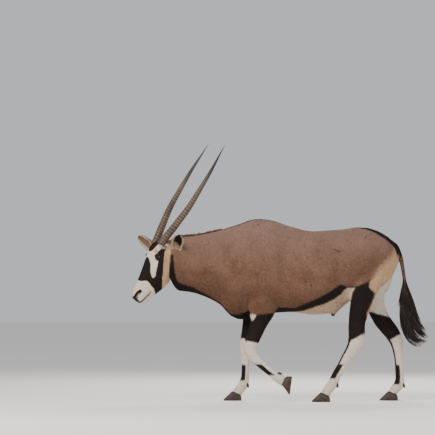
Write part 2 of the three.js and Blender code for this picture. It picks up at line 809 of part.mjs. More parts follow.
function buildHead() {
  const sides = [LEFT, RIGHT];
  const lids = sides.map((side) => {
    const reach = EYE_RADIUS + LID;
    return ball(paired(EYE_CENTRE, side), HEAD_AXES, [reach * LID_BULGE, reach, reach], 14, 9);
  });
  const horns = Object.fromEntries(sides.map((side) => [side, horn(side)]));
  const sockets = sides.map((side) => horn(side, GAP));
  const head = cut(
    join([headShape(), ...lids]),
    ...sides.map(lidOpening),
    ...sides.map((side) => eyeball(side, GAP)),
    ...sides.map(nostril),
    mouthSlit(),
    ...sockets,
  );
  addNode("head", head, COLOURS.coat);
  const names = { [LEFT]: "left", [RIGHT]: "right" };
  const grownHead = join([headShape(GAP), ...lids]);
  const nape = trunkSolid(TRUNK[0][0], NECK_END, GAP);
  for (const side of sides) {
    addNode(`eye_${names[side]}`, eyeball(side), COLOURS.eye);
    addNode(`horn_${names[side]}`, horns[side], COLOURS.horn);
    const cup = earLeaf(side, EAR_WALL, EAR_CUP_FRONT, EAR_CUP_FROM);
    const shell = cut(earLeaf(side, 0, EAR_FRONT, 0), cup);
    addNode(`ear_${names[side]}`, cut(shell, grownHead, nape), COLOURS.coat);
  }
  return grownHead;
}

// A value that a draw from 0 to 1 varies by a share on either side of 1.
const varied = (share, drawn) => 1 + share * (2 * drawn - 1);

// The mane's locks, in two rows that lean apart, and all short of the neck's end.
function maneLocks() {
  const draw = drawsFrom(7);
  const count = Math.floor((MANE.to - MANE.from) / MANE.spacing) + 1;
  const crest = (x, above, out) => {
    const at = Math.min(x, NECK_END - MANE.short);
    const values = valuesAt(TRUNK, at);
    return new THREE.Vector3(at, values[6] + out, values[0] + above);
  };
  return Array.from({ length: count }, (_, i) => {
    const row = i % 2 ? 1 : -1;
    const start = MANE.from + i * MANE.spacing + (MANE.spacing / 3) * draw();
    const length = MANE.length * varied(0.15, draw());
    const rise = MANE.rise * varied(0.2, draw());
    const beside = row * MANE.apart * varied(0.3, draw());
    const course = [
      crest(start, MANE.root, beside / 2),
      crest(start + LOCK[1][0] * length, rise, beside),
      crest(start + length, rise, beside * 1.5),
    ];
    return lock(course, new THREE.Vector3(0, 1, row * MANE.lean), MANE);
  });
}

function buildBody(shoulders, grownHead) {
  const dock = limbTable(DOCK, RIGHT);
  const tailRoot = limb(dock, 0, dock.at(-1)[0], TAIL_SIDES, GAP);
  const chest = trunkSolid(NECK_END + GAP, TRUNK.at(-1)[0]);
  const course = limbTable(SHEATH, RIGHT);
  const sheath = limb(course, 0, course.at(-1)[0], SHEATH_SIDES);
  addNode("torso", cut(join([chest, ...shoulders, sheath]), tailRoot), COLOURS.coat);
  const neck = cut(trunkSolid(TRUNK[0][0], NECK_END), grownHead);
  addNode("neck", join([neck, ...maneLocks()]), COLOURS.coat);
}

// The tassel's locks. Each roots in the core, swings out to the tassel's outline and falls to its tip.
function tasselLocks() {
  const draw = drawsFrom(23);
  const spread = limbTable(TASSEL_SPREAD, RIGHT);
  const end = spread.at(-1)[0];
  return Array.from({ length: TASSEL_LOCKS }, (_, i) => {
    const angle = LOCK_TURN * (i + draw() / 5);
    const behind = Math.max(0, Math.cos(angle));
    const from = TASSEL_TIERS.from + (TASSEL_TIERS.over * i) / TASSEL_LOCKS;
    const length = TASSEL_LOCK.length + TASSEL_LOCK.more * draw() - TASSEL_LOCK.shorter * behind * draw();
    const to = Math.min(end, from + length);
    const at = (run, share) => {
      const [x, y, z, depth, width] = valuesAt(spread, run);
      const out = [depth * Math.cos(angle), width * Math.sin(angle)];
      return new THREE.Vector3(x + share * out[0], y + share * out[1], z);
    };
    const bend = from + 0.4 * (to - from);
    const course = [at(from, 0.2), at(bend, 1.1), at(to, varied(0.1, draw()))];
    const facing = new THREE.Vector3(Math.cos(angle), Math.sin(angle), 0.2);
    const width = TASSEL_LOCK.width * varied(0.2, draw());
    return lock(course, facing, { ...TASSEL_LOCK, width });
  });
}

function buildTail() {
  const dock = limbTable(DOCK, RIGHT);
  const core = limbTable(TASSEL_CORE, RIGHT);
  const end = dock.at(-1)[0];
  addNode("tail_dock", limb(dock, 0, end, TAIL_SIDES), COLOURS.coat);
  const hair = join([limb(core, 0, core.at(-1)[0], TAIL_SIDES), ...tasselLocks()]);
  addNode("tail_tassel", cut(hair, limb(dock, 0, end, TAIL_SIDES, GAP)), COLOURS.dark);
}

const grownHead = buildHead();
buildBody(buildLegs(), grownHead);
buildTail();

// The origin is under the middle of the animal, at floor level.
const box = new THREE.Box3().setFromObject(gemsbok, true);
const middle = box.getCenter(new THREE.Vector3());
gemsbok.position.set(-middle.x, -middle.y, -box.min.z);

export default gemsbok;
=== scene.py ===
# A gemsbok bull at life size: one skin under a short coat, with eyes, horns, hooves, mane and tail.
# The tables are millimetres in the animal's own frame: the nose points to -X and its left side to -Y.
import math

import bpy
import numpy as np
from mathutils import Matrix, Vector
from mathutils.kdtree import KDTree


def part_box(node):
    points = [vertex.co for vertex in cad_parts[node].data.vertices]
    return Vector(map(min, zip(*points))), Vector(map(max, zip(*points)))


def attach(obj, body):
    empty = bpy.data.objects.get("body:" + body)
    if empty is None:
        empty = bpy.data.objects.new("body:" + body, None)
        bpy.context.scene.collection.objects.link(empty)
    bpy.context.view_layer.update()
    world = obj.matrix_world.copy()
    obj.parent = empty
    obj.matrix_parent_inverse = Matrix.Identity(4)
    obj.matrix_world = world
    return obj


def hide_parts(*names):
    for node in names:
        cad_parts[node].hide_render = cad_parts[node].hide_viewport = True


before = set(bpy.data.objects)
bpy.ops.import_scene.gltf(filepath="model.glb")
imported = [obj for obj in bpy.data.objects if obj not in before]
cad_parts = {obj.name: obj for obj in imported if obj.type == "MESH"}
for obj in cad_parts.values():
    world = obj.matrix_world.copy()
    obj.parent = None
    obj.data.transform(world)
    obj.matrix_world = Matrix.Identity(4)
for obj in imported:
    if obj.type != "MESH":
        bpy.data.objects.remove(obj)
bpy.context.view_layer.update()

MM = 0.001
TINY = 1e-9  # keeps a division finite
LEFT, RIGHT = -1, 1
CHEST_START = -344.7  # where the torso's node begins, along the animal
CHEST_LOW, CHEST_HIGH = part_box("torso")
ORIGIN = np.array([CHEST_LOW.x - CHEST_START * MM, (CHEST_LOW.y + CHEST_HIGH.y) / 2, 0.0])

# Trunk and neck: x, top, bottom, half width, height share of the widest place, narrowing towards the
# top and towards the bottom, and the shift of the middle to the right.
TRUNK = [
    [-716, 1068, 862, 44, 0.5, 0.1, 0.1, -40],
    [-700, 1092, 806, 66, 0.5, 0.1, 0.1, -40],
    [-655, 1104, 748, 84, 0.5, 0.15, 0.15, -36],
    [-560, 1117, 732, 98, 0.48, 0.25, 0.2, -24],
    [-470, 1132, 702, 110, 0.47, 0.3, 0.25, -13],
    [-371, 1156, 649, 126, 0.46, 0.35, 0.3, -4],
    [-298, 1178, 574, 145, 0.46, 0.45, 0.4, 0],
    [-236, 1198, 551, 166, 0.46, 0.55, 0.4, 0],
    [-169, 1222, 556, 186, 0.46, 0.6, 0.35, 0],
    [-105, 1230, 570, 200, 0.46, 0.6, 0.25, 0],
    [-34, 1222, 590, 211, 0.45, 0.5, 0.1, 0],
    [112, 1177, 599, 225, 0.43, 0.3, 0, 0],
    [256, 1147, 582, 236, 0.42, 0.2, 0, 0],
    [398, 1155, 595, 229, 0.43, 0.15, 0, 0],
    [483, 1163, 655, 218, 0.45, 0.15, 0, 0],
    [540, 1172, 692, 209, 0.48, 0.15, 0, 0],
    [608, 1171, 724, 197, 0.52, 0.12, 0, 0],
    [675, 1155, 750, 180, 0.55, 0.1, 0, 0],
    [742, 1122, 784, 150, 0.56, 0.05, 0, 0],
    [790, 1086, 838, 108, 0.56, 0, 0, 0],
    [822, 1042, 900, 66, 0.55, 0, 0, 0],
    [835, 1004, 944, 26, 0.5, 0, 0, 0],
]
# Muscle and bone under the skin: x, z, reach along x, reach along z, height, and the side (0 for both).
SWELLS = [
    [-128, 940, 95, 190, 13, 0],
    [-218, 768, 60, 85, 20, 0],
    [-60, 745, 85, 80, 10, 0],
    [4, 668, 52, 55, 18, LEFT],
    [-80, 655, 55, 55, 14, RIGHT],
    [70, 915, 50, 170, -9, 0],
    [520, 1102, 60, 50, 9, 0],
    [462, 975, 75, 110, -15, 0],
    [650, 925, 120, 150, 15, 0],
    [-560, 838, 170, 38, -9, 0],
    [-440, 915, 170, 45, 5, 0],
    [-252, 905, 30, 150, -6, 0],
    [62, 800, 34, 110, -6, 0],
    [-215, 706, 70, 16, -6, 0],
    [250, 1000, 150, 60, 4, 0],
    [428, 850, 40, 90, -7, 0],
    [-620, 1020, 120, 60, 7, 0],
]
# Head: along the face from the brow, top, bottom, half width, height share of the widest place, and
# narrowing towards the top and towards the bottom.
HEAD = [
    [-92, -66, -132, 34, 0.5, 0.1, 0.1],
    [-66, -34, -186, 60, 0.5, 0.05, 0.1],
    [-25, -8, -208, 71, 0.52, 0, 0.15],
    [15, 3, -221, 74, 0.58, 0, 0.2],
    [55, 5, -231, 72, 0.62, 0, 0.25],
    [100, 4, -239, 66, 0.62, 0.05, 0.3],
    [150, 3, -237, 58, 0.62, 0.15, 0.35],
    [200, 2, -218, 50, 0.6, 0.2, 0.35],
    [250, 1, -189, 43, 0.58, 0.2, 0.3],
    [290, 1, -164, 40, 0.58, 0.15, 0.3],
    [322, 2, -147, 42, 0.6, 0.05, 0.3],
    [346, -5, -135, 42, 0.62, 0, 0.3],
    [364, -18, -123, 36, 0.6, 0, 0.25],
    [376, -38, -108, 25, 0.58, 0, 0.2],
    [381, -58, -88, 10, 0.5, 0, 0],
]
HEAD_PITCH, HEAD_TURN, HEAD_ROLL = 65.4, 34.7, 4.3  # degrees
BROW = [-826, -95, 1042]

# Ear: share of the length, share of the half width, share of the depth.
EAR = [
    [0, 0.42, 0.85],
    [0.12, 0.52, 0.95],
    [0.3, 0.85, 1],
    [0.5, 1, 0.95],
    [0.7, 0.96, 0.8],
    [0.86, 0.72, 0.55],
    [0.96, 0.36, 0.25],
    [1, 0.08, 0.08],
]
EAR_LENGTH, EAR_HALF_WIDTH, EAR_DEPTH = 185, 44, 30
EARS = {
    LEFT: {"root": [-27, -136, 75], "towards": [-0.5, 0.55, 0.69], "opening": [0.81, 0.33, 0.48]},
    RIGHT: {"root": [8, -101, 70], "towards": [-0.35, 0.61, 0.71], "opening": [0.5, 0.8, 0]},
}
EYE_RADIUS = 19
EYE_CENTRE = [52, -42, 55]
LID = 5

# Limbs: x, height, distance to the side of the middle, half depth from front to back, half width.
FORELEG_SWINGING = [
    [-58, 790, 104, 60, 40],
    [-64, 725, 110, 94, 55],
    [-76, 655, 112, 93, 58],
    [-96, 585, 110, 80, 52],
    [-118, 508, 108, 57, 45],
    [-139, 448, 106, 49, 41],
    [-159, 402, 105, 45, 39],
    [-170, 354, 104, 44, 39],
    [-146, 302, 103, 36, 33],
    [-94, 251, 102, 28, 27],
    [-37, 203, 101, 27, 26],
    [10, 167, 101, 32, 31],
    [43, 144, 101, 33, 33],
    [72, 124, 101, 30, 34],
]
FORELEG_STANDING = [
    [-86, 790, 104, 60, 40],
    [-96, 725, 110, 94, 55],
    [-116, 650, 112, 89, 58],
    [-142, 578, 110, 74, 51],
    [-165, 502, 107, 58, 44],
    [-186, 432, 104, 45, 39],
    [-194, 378, 103, 43, 38],
    [-197, 334, 102, 38, 36],
    [-199, 290, 102, 29, 29],
    [-199, 223, 101, 26, 26],
    [-201, 162, 101, 27, 27],
    [-211, 114, 102, 33, 31],
    [-234, 80, 102, 33, 33],
    [-258, 48, 103, 29, 35],
]
HINDLEG_FORWARD = [
    [664, 985, 104, 50, 40],
    [648, 920, 112, 98, 62],
    [616, 838, 117, 118, 72],
    [588, 732, 118, 90, 66],
    [572, 648, 118, 74, 57],
    [556, 580, 116, 66, 50],
    [546, 513, 114, 58, 45],
    [546, 452, 112, 57, 41],
    [539, 398, 111, 53, 37],
    [512, 344, 111, 43, 33],
    [481, 297, 111, 37, 30],
    [445, 236, 111, 32, 27],
    [409, 176, 112, 31, 28],
    [388, 127, 112, 35, 32],
    [360, 88, 112, 33, 34],
    [334, 52, 113, 29, 36],
]
HINDLEG_BACK = [
    [722, 985, 104, 50, 40],
    [718, 915, 112, 90, 60],
    [702, 820, 117, 96, 69],
    [678, 722, 118, 73, 63],
    [686, 641, 118, 64, 56],
    [716, 567, 116, 61, 49],
    [763, 500, 114, 57, 44],
    [806, 441, 112, 51, 40],
    [827, 394, 111, 45, 36],
    [836, 338, 111, 36, 32],
    [842, 277, 111, 30, 29],
    [846, 206, 111, 29, 28],
    [848, 150, 112, 30, 28],
    [844, 112, 112, 35, 32],
    [822, 82, 112, 33, 34],
    [796, 50, 113, 29, 36],
]
# Tail and sheath: x, height, side, half depth, half width.
DOCK = [
    [772, 1074, 0, 20, 26],
    [812, 1050, 0, 19, 23],
    [841, 999, 0, 17, 18],
    [857, 925, 0, 15, 15],
    [869, 850, 0, 13, 13],
    [876, 792, 0, 12, 12],
    [877, 745, 0, 11, 11],
    [879, 700, 0, 7, 7],
]
SHEATH = [
    [446, 662, 0, 30, 24],
    [416, 626, 0, 26, 22],
    [394, 598, 0, 19, 16],
    [381, 577, 0, 8, 8],
]
LEGS = {
    "foreleg_left": {"places": FORELEG_SWINGING, "side": LEFT, "heel": [112, 101, 167], "lean": 82.6},
    "foreleg_right": {"places": FORELEG_STANDING, "side": RIGHT, "heel": [-228, 103, 0], "lean": 0},
    "hindleg_left": {"places": HINDLEG_FORWARD, "side": LEFT, "heel": [364, 113, 0], "lean": 0},
    "hindleg_right": {"places": HINDLEG_BACK, "side": RIGHT, "heel": [832, 113, 0], "lean": 0},
}


def to_row(points):
    """Places in the animal's frame, in millimetres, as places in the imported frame, in metres."""
    return np.asarray(points, float) * MM + ORIGIN


def smooth_step(low, high, values):
    """0 below low, 1 above high, and a smooth rise between them."""
    t = np.clip((np.asarray(values, float) - low) / (high - low), 0, 1)
    return t * t * (3 - 2 * t)


def table_values(rows, at):
    """Smooth values at places along a table whose first column rises. No slope runs past a row."""
    rows = np.asarray(rows, float)
    x, y = rows[:, 0], rows[:, 1:]
    span = np.diff(x)
    rise = np.diff(y, axis=0) / span[:, None]
    slope = np.zeros_like(y)
    slope[0], slope[-1] = rise[0], rise[-1]
    for k in range(1, len(x) - 1):
        heavy, light = 2 * span[k] + span[k - 1], span[k] + 2 * span[k - 1]
        level = rise[k - 1] * rise[k] <= 0
        before, after = np.where(level, 1, rise[k - 1]), np.where(level, 1, rise[k])
        slope[k] = np.where(level, 0, (heavy + light) / (heavy / before + light / after))
    at = np.clip(np.asarray(at, float), x[0], x[-1])
    i = np.clip(np.searchsorted(x, at, side="right") - 1, 0, len(span) - 1)
    h = span[i][..., None]
    t = (at - x[i])[..., None] / h
    return (
        y[i] * (1 + 2 * t) * (1 - t) ** 2
        + slope[i] * h * t * (1 - t) ** 2
        + y[i + 1] * t * t * (3 - 2 * t)
        - slope[i + 1] * h * t * t * (1 - t)
    )


def section(values, angles):
    """Heights and distances to the side round a body section, at angles from its top."""
    top, bottom, half, widest, ridge, keel = (values[..., k, None] for k in range(6))
    middle = bottom + widest * (top - bottom)
    up, out = np.cos(angles), np.sin(angles)
    reach = np.where(up > 0, top - middle, middle - bottom)
    narrowed = np.abs(out) ** (1 + np.where(up > 0, ridge, keel))
    return middle + reach * up, np.sign(out) * narrowed * half


def trunk_points(x, angles):
    values = table_values(TRUNK, x)
    up, out = section(values, angles)
    rise = np.zeros_like(up)
    for swell_x, swell_z, reach_x, reach_z, height, side in SWELLS:
        away = ((x[..., None] - swell_x) / reach_x) ** 2 + ((up - swell_z) / reach_z) ** 2
        rise += height * np.exp(-away) * ((side == 0) | (np.sign(out) == side))
    flank = np.minimum(1, np.abs(out) / values[..., 2, None])
    y = out + np.sign(out) * rise * flank + values[..., 6, None]
    return np.stack([np.broadcast_to(x[..., None], up.shape), y, up], -1)


def turned(vector, axis, degrees):
    """A vector turned about an axis."""
    a = math.radians(degrees)
    axis = axis / np.linalg.norm(axis)
    return (
        vector * math.cos(a)
        + np.cross(axis, vector) * math.sin(a)
        + axis * (axis @ vector) * (1 - math.cos(a))
    )


def unit(vectors, least=0.0):
    """Rows of vectors at length 1. The least length keeps those that have none finite."""
    return vectors / (np.linalg.norm(vectors, axis=-1, keepdims=True) + least)


UP = np.array([0.0, 0.0, 1.0])
HEADING = turned(np.array([-1.0, 0.0, 0.0]), UP, HEAD_TURN)
ACROSS = np.cross(UP, HEADING)
FACE, DORSAL, HEAD_LEFT = (
    turned(axis, HEADING, -HEAD_ROLL)
    for axis in (turned(HEADING, ACROSS, HEAD_PITCH), turned(UP, ACROSS, HEAD_PITCH), ACROSS)
)
HEAD_AXES = np.stack([FACE, DORSAL, HEAD_LEFT])


def on_head(places):
    """Places along, above and to the left of the brow as places in the animal's frame."""
    return np.asarray(places, float) @ HEAD_AXES + BROW


def head_places(points):
    """The other way round: along, above and to the left of the brow."""
    return (np.asarray(points, float) - BROW) @ HEAD_AXES.T


def paired(place, side):
    """A paired feature of the head, whose place is along, above and beside the face."""
    return on_head([place[0], place[1], -side * place[2]])


def head_points(along, angles):
    up, out = section(table_values(HEAD, along), angles)
    place = np.stack([np.broadcast_to(along[..., None], up.shape), up, out], -1)
    return on_head(place)


def limb_table(places, side):
    """A limb's line by the length run so far: x, y, z, half depth, half width."""
    places = np.asarray(places, float)
    steps = np.hypot(np.diff(places[:, 0]), np.diff(places[:, 1]))
    run = np.concatenate([[0], np.cumsum(steps)])
    return np.column_stack([run, places[:, 0], side * places[:, 2], places[:, 1], places[:, 3:]])


LINE_REACH = 12


def limb_points(table, run, angles):
    """Places round a limb. Angle 0 is its front."""
    values = table_values(table, run)
    end = table[-1, 0]
    after = table_values(table, np.minimum(end, run + LINE_REACH))[:, :3]
    before = table_values(table, np.maximum(0, run - LINE_REACH))[:, :3]
    line = unit(after - before)
    front = unit(np.cross([0.0, 1.0, 0.0], line))
    across = np.cross(line, front)
    depth, width = values[:, None, 3:4], values[:, None, 4:5]
    cos, sin = np.cos(angles)[None, :, None], np.sin(angles)[None, :, None]
    return values[:, None, :3] + front[:, None] * depth * cos + across[:, None] * width * sin


def ear_axes(side):
    ear = EARS[side]

    def on_side(way):
        return np.array([way[0], way[1], -side * way[2]]) @ HEAD_AXES

    tip = on_side(ear["towards"])
    tip /= np.linalg.norm(tip)
    opening = on_side(ear["opening"])
    opening -= tip * (opening @ tip)
    opening /= np.linalg.norm(opening)
    return paired(ear["root"], side), tip, opening, np.cross(tip, opening)


EAR_WALL = 5.5
EAR_CUP = (0.24, 0.42)  # shares of the length over which the cup opens
EAR_BULGE = 2


def ear_points(side, share, angles):
    """Places round an ear. From 0 to pi they run over its back, and from pi on they line its cup."""
    root, tip, opening, across = ear_axes(side)
    width, depth = np.moveaxis(table_values(EAR, share), -1, 0)
    half, deep = width * EAR_HALF_WIDTH, depth * EAR_DEPTH
    open_share = smooth_step(*EAR_CUP, share)
    wall = np.minimum(EAR_WALL, half * 0.6)
    lining = angles > math.pi
    beside = np.where(lining, (half - wall)[:, None], half[:, None]) * np.cos(angles)
    cup = np.maximum(deep - wall, 0.5) * open_share - EAR_BULGE * (1 - open_share)
    out = np.where(lining, cup[:, None] * np.sin(angles), -deep[:, None] * np.sin(angles))
    centre = root + tip * (share * EAR_LENGTH)[:, None]
    return centre[:, None] + across * beside[..., None] + opening * out[..., None]


def round_places(sides):
    return np.linspace(0, 2 * math.pi, sides, endpoint=False)


LIMB_TABLES = {name: limb_table(leg["places"], leg["side"]) for name, leg in LEGS.items()}
DOCK_TABLE = limb_table(DOCK, RIGHT)
SHEATH_TABLE = limb_table(SHEATH, RIGHT)


EAR_SIDES = {"ear_left": LEFT, "ear_right": RIGHT}
# Each kind of region: how far apart its rings lie, and their sides.
REGION_STEPS = {"trunk": (8, 112), "head": (4, 96), "tail": (5, 28), "leg": (6, 48), "ear": (3, 64)}


def regions():
    """Every region of the skin: its name, its surface by place along and angle, those places, its sides."""
    found = []

    def add_region(name, kind, surface, start, end):
        step, sides = REGION_STEPS[kind]
        rings = max(2, int(round((end - start) / step)) + 1)
        found.append((name, surface, np.linspace(start, end, rings), sides))

    add_region("trunk", "trunk", trunk_points, TRUNK[0][0], TRUNK[-1][0])
    add_region("head", "head", head_points, HEAD[0][0], HEAD[-1][0])
    limbs = [("tail", "tail", DOCK_TABLE), ("sheath", "tail", SHEATH_TABLE)]
    limbs += [(name, "leg", table) for name, table in LIMB_TABLES.items()]
    for name, kind, table in limbs:
        add_region(name, kind, lambda t, a, table=table: limb_points(table, t, a), 0, table[-1, 0])
    for name, side in EAR_SIDES.items():
        add_region(name, "ear", lambda t, a, side=side: ear_points(side, t / EAR_LENGTH, a), 0, EAR_LENGTH)
    return found


REGIONS = regions()
REGION_NAMES = [name for name, _, _, _ in REGIONS]


def within(region, *names):
    """Where a region's number is one of those named."""
    return np.isin(region, [REGION_NAMES.index(name) for name in names])


def mesh_from(name, points, faces):
    mesh = bpy.data.meshes.new(name)
    mesh.from_pydata([tuple(p) for p in points], [], [tuple(int(i) for i in f) for f in faces])
    mesh.update()
    return mesh


def add_object(name, mesh):
    piece = bpy.data.objects.new(name, mesh)
    bpy.context.scene.collection.objects.link(piece)
    return piece


def wall_faces(rings, sides):
    """The faces of a tube of rings, without its ends."""
    faces = []
    for a in range(0, (rings - 1) * sides, sides):
        b = a + sides
        faces += [(a + i, a + (i + 1) % sides, b + (i + 1) % sides, b + i) for i in range(sides)]
    return faces


def tube(grid):
    """The points and faces of a closed tube from a grid of rings. A fan round its middle closes each end."""
    rings, sides = grid.shape[:2]
    ends = np.stack([grid[0].mean(0), grid[-1].mean(0)])
    faces = wall_faces(rings, sides)
    middle, last = rings * sides, (rings - 1) * sides
    faces += [(middle, (i + 1) % sides, i) for i in range(sides)]
    faces += [(middle + 1, last + i, last + (i + 1) % sides) for i in range(sides)]
    return np.concatenate([grid.reshape(-1, 3), ends]), faces


def joined(parts):
    points, faces, first = [], [], 0
    for part_points, part_faces in parts:
        points.append(part_points)
        faces += [tuple(i + first for i in face) for face in part_faces]
        first += len(part_points)
    return np.concatenate(points), faces


def ball(centre, axes, sizes, columns=32, rows=20):
    """A closed ball whose three half sizes run along its axes. Its poles lie on the first one."""
    tilt = np.linspace(0, math.pi, rows + 1)[1:-1]
    turn = round_places(columns)
    grid = np.stack(
        [
            np.broadcast_to(-np.cos(tilt)[:, None], (rows - 1, columns)),
            np.sin(tilt)[:, None] * np.cos(turn),
            np.sin(tilt)[:, None] * np.sin(turn),
        ],
        -1,
    )
    shape = np.asarray(axes, float) * np.asarray(sizes, float)[:, None]
    points, faces = tube(grid)
    points[-2:] = [[-1, 0, 0], [1, 0, 0]]
    return points @ shape + np.asarray(centre, float), faces


VOXEL = 2.6
SKIN_TRIANGLES = 190000
COAT_DEPTH = 3.0
FACE_COAT_DEPTH = 1.6
SOCKET_LENGTH = 1.15  # of the swelling round an eye, in its heights


def skin_shape():
    """All regions and the swellings round the eyes, as one closed mesh of small even faces."""
    parts = [tube(surface(places, round_places(sides))) for _, surface, places, sides in REGIONS]
    reach = EYE_RADIUS + LID
    for side in (LEFT, RIGHT):
        parts.append(ball(paired(EYE_CENTRE, side), HEAD_AXES, [reach * SOCKET_LENGTH, reach, reach]))
    points, faces = joined(parts)
    raw = add_object("skin_raw", mesh_from("skin_raw", points * MM, faces))
    remesh = raw.modifiers.new("even", "REMESH")
    remesh.mode = "VOXEL"
    remesh.voxel_size = VOXEL * MM
    return raw


def applied(piece):
    """The piece's mesh with its modifiers applied."""
    graph = bpy.context.evaluated_depsgraph_get()
    mesh = bpy.data.meshes.new_from_object(piece.evaluated_get(graph))
    old = piece.data
    piece.modifiers.clear()
    piece.data = mesh
    bpy.data.meshes.remove(old)
    return mesh


def read_values(items, name, kind=float, size=3):
    """One named value of every item of a mesh, as rows."""
    found = np.empty(len(items) * size, kind)
    items.foreach_get(name, found)
    return found.reshape(-1, size)


def read_points(mesh):
    return read_values(mesh.vertices, "co") / MM


def write_points(mesh, points):
    mesh.vertices.foreach_set("co", (points * MM).ravel())
    mesh.update()


def read_normals(mesh):
    return read_values(mesh.vertices, "normal")


def read_edges(mesh):
    return read_values(mesh.edges, "vertices", np.int64, 2)


def smoothed(points, edges, weight, rounds):
    """Points moved towards the middle of their neighbours, each by its weight, again and again."""
    moving = weight > 0
    edges = edges[moving[edges].any(1)]
    used, edges = np.unique(edges, return_inverse=True)
    edges = edges.reshape(-1, 2)
    whole, points, weight = points, points[used], weight[used]
    count = np.bincount(edges.ravel(), minlength=len(points))
    for _ in range(rounds):
        middle = np.stack(
            [
                np.bincount(edges[:, 0], points[edges[:, 1], k], len(points))
                + np.bincount(edges[:, 1], points[edges[:, 0], k], len(points))
                for k in range(3)
            ],
            -1,
        ) / np.maximum(count, 1)[:, None]
        points = points + (middle - points) * weight[:, None]
    whole = whole.copy()
    whole[used] = points
    return whole


def zone(values, low, high, soft):
    """1 between two limits, and 0 away from them."""
    return smooth_step(low - soft, low, values) * (1 - smooth_step(high, high + soft, values))


# Where the skin is smoothed over its joints: the limits along x and their soft edge, the limits of height
# and their soft edge, and how much. They are the shoulders, haunches, throat and croup.
JOINT_ZONES = [
    [-300, 90, 40, 620, 800, 50, 1],
    [430, 800, 40, 560, 960, 60, 1],
    [-735, -665, 15, 700, 1020, 30, 0.35],
    [775, 850, 20, 985, 1120, 30, 0.8],
]
ALL_PULL, ALL_ROUNDS = 0.5, 3
JOINT_PULL, JOINT_ROUNDS, JOINT_LEAST = 0.6, 150, 0.02


def make_skin():
    skin = skin_shape()
    mesh = applied(skin)
    points, edges = read_points(mesh), read_edges(mesh)
    points = smoothed(points, edges, np.full(len(points), ALL_PULL), ALL_ROUNDS)
    x, z = points[:, 0], points[:, 2]
    weight = np.zeros(len(points))
    for start, end, soft, low, high, soft_up, share in JOINT_ZONES:
        weight = np.maximum(weight, zone(z, low, high, soft_up) * zone(x, start, end, soft) * share)
    weight = np.where(weight > JOINT_LEAST, weight, 0)
    write_points(mesh, smoothed(points, edges, JOINT_PULL * weight, JOINT_ROUNDS))
    return skin, mesh


# Eye opening, in the plane of the face: half length, half height and slant.
LID_HALF, LID_HIGH, LID_SLANT = 24, 16, 0.35
LID_RISE = 3.6  # of the lids' edges over the eyeball
LID_FOLD = 1.8
# In openings: the lids' edges, where the lids end, and their crease and its width.
LID_EDGE, LID_END, CREASE_AT, CREASE_WIDTH = 1.14, 2.4, 1.95, 0.2
LID_REACH = 42  # from the eye's centre
EYE_SINK = 3.5  # of the skin behind the eyeball's face
# Nostril and mouth: along the face, above the brow's line, beside the middle.
NOSTRIL = [[312, -28, 36], [326, -21, 35], [342, -19, 31], [356, -21, 23], [367, -25, 14]]
NOSTRIL_WIDTH, NOSTRIL_DEPTH = 5.6, 12
# The raised rim round it: how far out in widths, height and half width.
RIM_AT, RIM_HEIGHT, RIM_WIDTH = 2.1, 1.6, 4
MOUTH = [[386, -70, 0], [380, -70, 12], [366, -74, 27], [351, -80, 38], [311, -99, 37], [282, -109, 36]]
MOUTH_WIDTH, MOUTH_DEPTH = 3, 4.5
SIDE_VIEW = np.array([1, 1, 0.3])  # how much each direction counts in the distance to them
HEAD_END, HEAD_BASE = -600, 560  # the head lies ahead of the one and above the other
FACE_SWELL_WIDTH = 45
# Soft shapes of the face: along, above, beside, reach along, reach above, height.
FACE_SWELLS = [
    [-8, -4, 0, 40, 26, 6],
    [74, -80, 66, 36, 11, 6],
    [118, -94, 60, 46, 11, 5],
    [120, -165, 52, 62, 38, 5],
    [208, -150, 44, 26, 34, -4],
    [20, -20, 56, 30, 15, 6.5],
    [100, -40, 54, 24, 15, -5],
    [-5, -60, 72, 22, 26, -3],
    [215, -66, 46, 60, 22, -2.5],
    [265, -92, 40, 45, 14, -2],
    [334, -34, 40, 26, 17, 3.2],
    [345, -62, 36, 26, 9, 2.6],
    [352, -100, 30, 26, 12, 2.6],
    [300, -128, 20, 40, 20, 2],
]


def line_distance(points, line):
    """The distance from places to a line through its points, and how far along it they lie."""
    line = np.asarray(line, float)
    best, share = np.full(len(points), np.inf), np.zeros(len(points))
    for k, (a, b) in enumerate(zip(line[:-1], line[1:])):
        way = b - a
        t = np.clip((points - a) @ way / (way @ way), 0, 1)
        away = np.linalg.norm(points - a - t[:, None] * way, axis=1)
        nearer = away < best
        best[nearer] = away[nearer]
        share[nearer] = (k + t[nearer]) / (len(line) - 1)
    return best, share


def face_rise(local):
    """How far the skin of the head rises or sinks, for its soft shapes, nostrils and mouth."""
    rise = np.zeros(len(local))
    for side in (LEFT, RIGHT):
        out = -side * local[:, 2]
        same = out > -6
        for along, above, beside, reach, tall, height in FACE_SWELLS:
            away = ((local[:, 0] - along) / reach) ** 2 + ((local[:, 1] - above) / tall) ** 2
            away += ((out - beside) / FACE_SWELL_WIDTH) ** 2
            rise += height * np.exp(-away) * same
        own = np.stack([local[:, 0], local[:, 1], out], -1) * SIDE_VIEW
        away, share = line_distance(own, np.array(NOSTRIL) * SIDE_VIEW)
        wide = NOSTRIL_WIDTH * (0.45 + 0.75 * np.sin(np.pi * np.clip(share * 0.8 + 0.12, 0, 1)))
        rise -= NOSTRIL_DEPTH * (1 - smooth_step(0.35, 1, away / (wide * 1.7)))
        rise += RIM_HEIGHT * np.exp(-(((away - wide * RIM_AT) / RIM_WIDTH) ** 2))
        away, share = line_distance(own, np.array(MOUTH) * SIDE_VIEW)
        rise -= MOUTH_DEPTH * (1 - 0.35 * share) * (1 - smooth_step(0.2, 1, away / (MOUTH_WIDTH * 1.5)))
    return rise


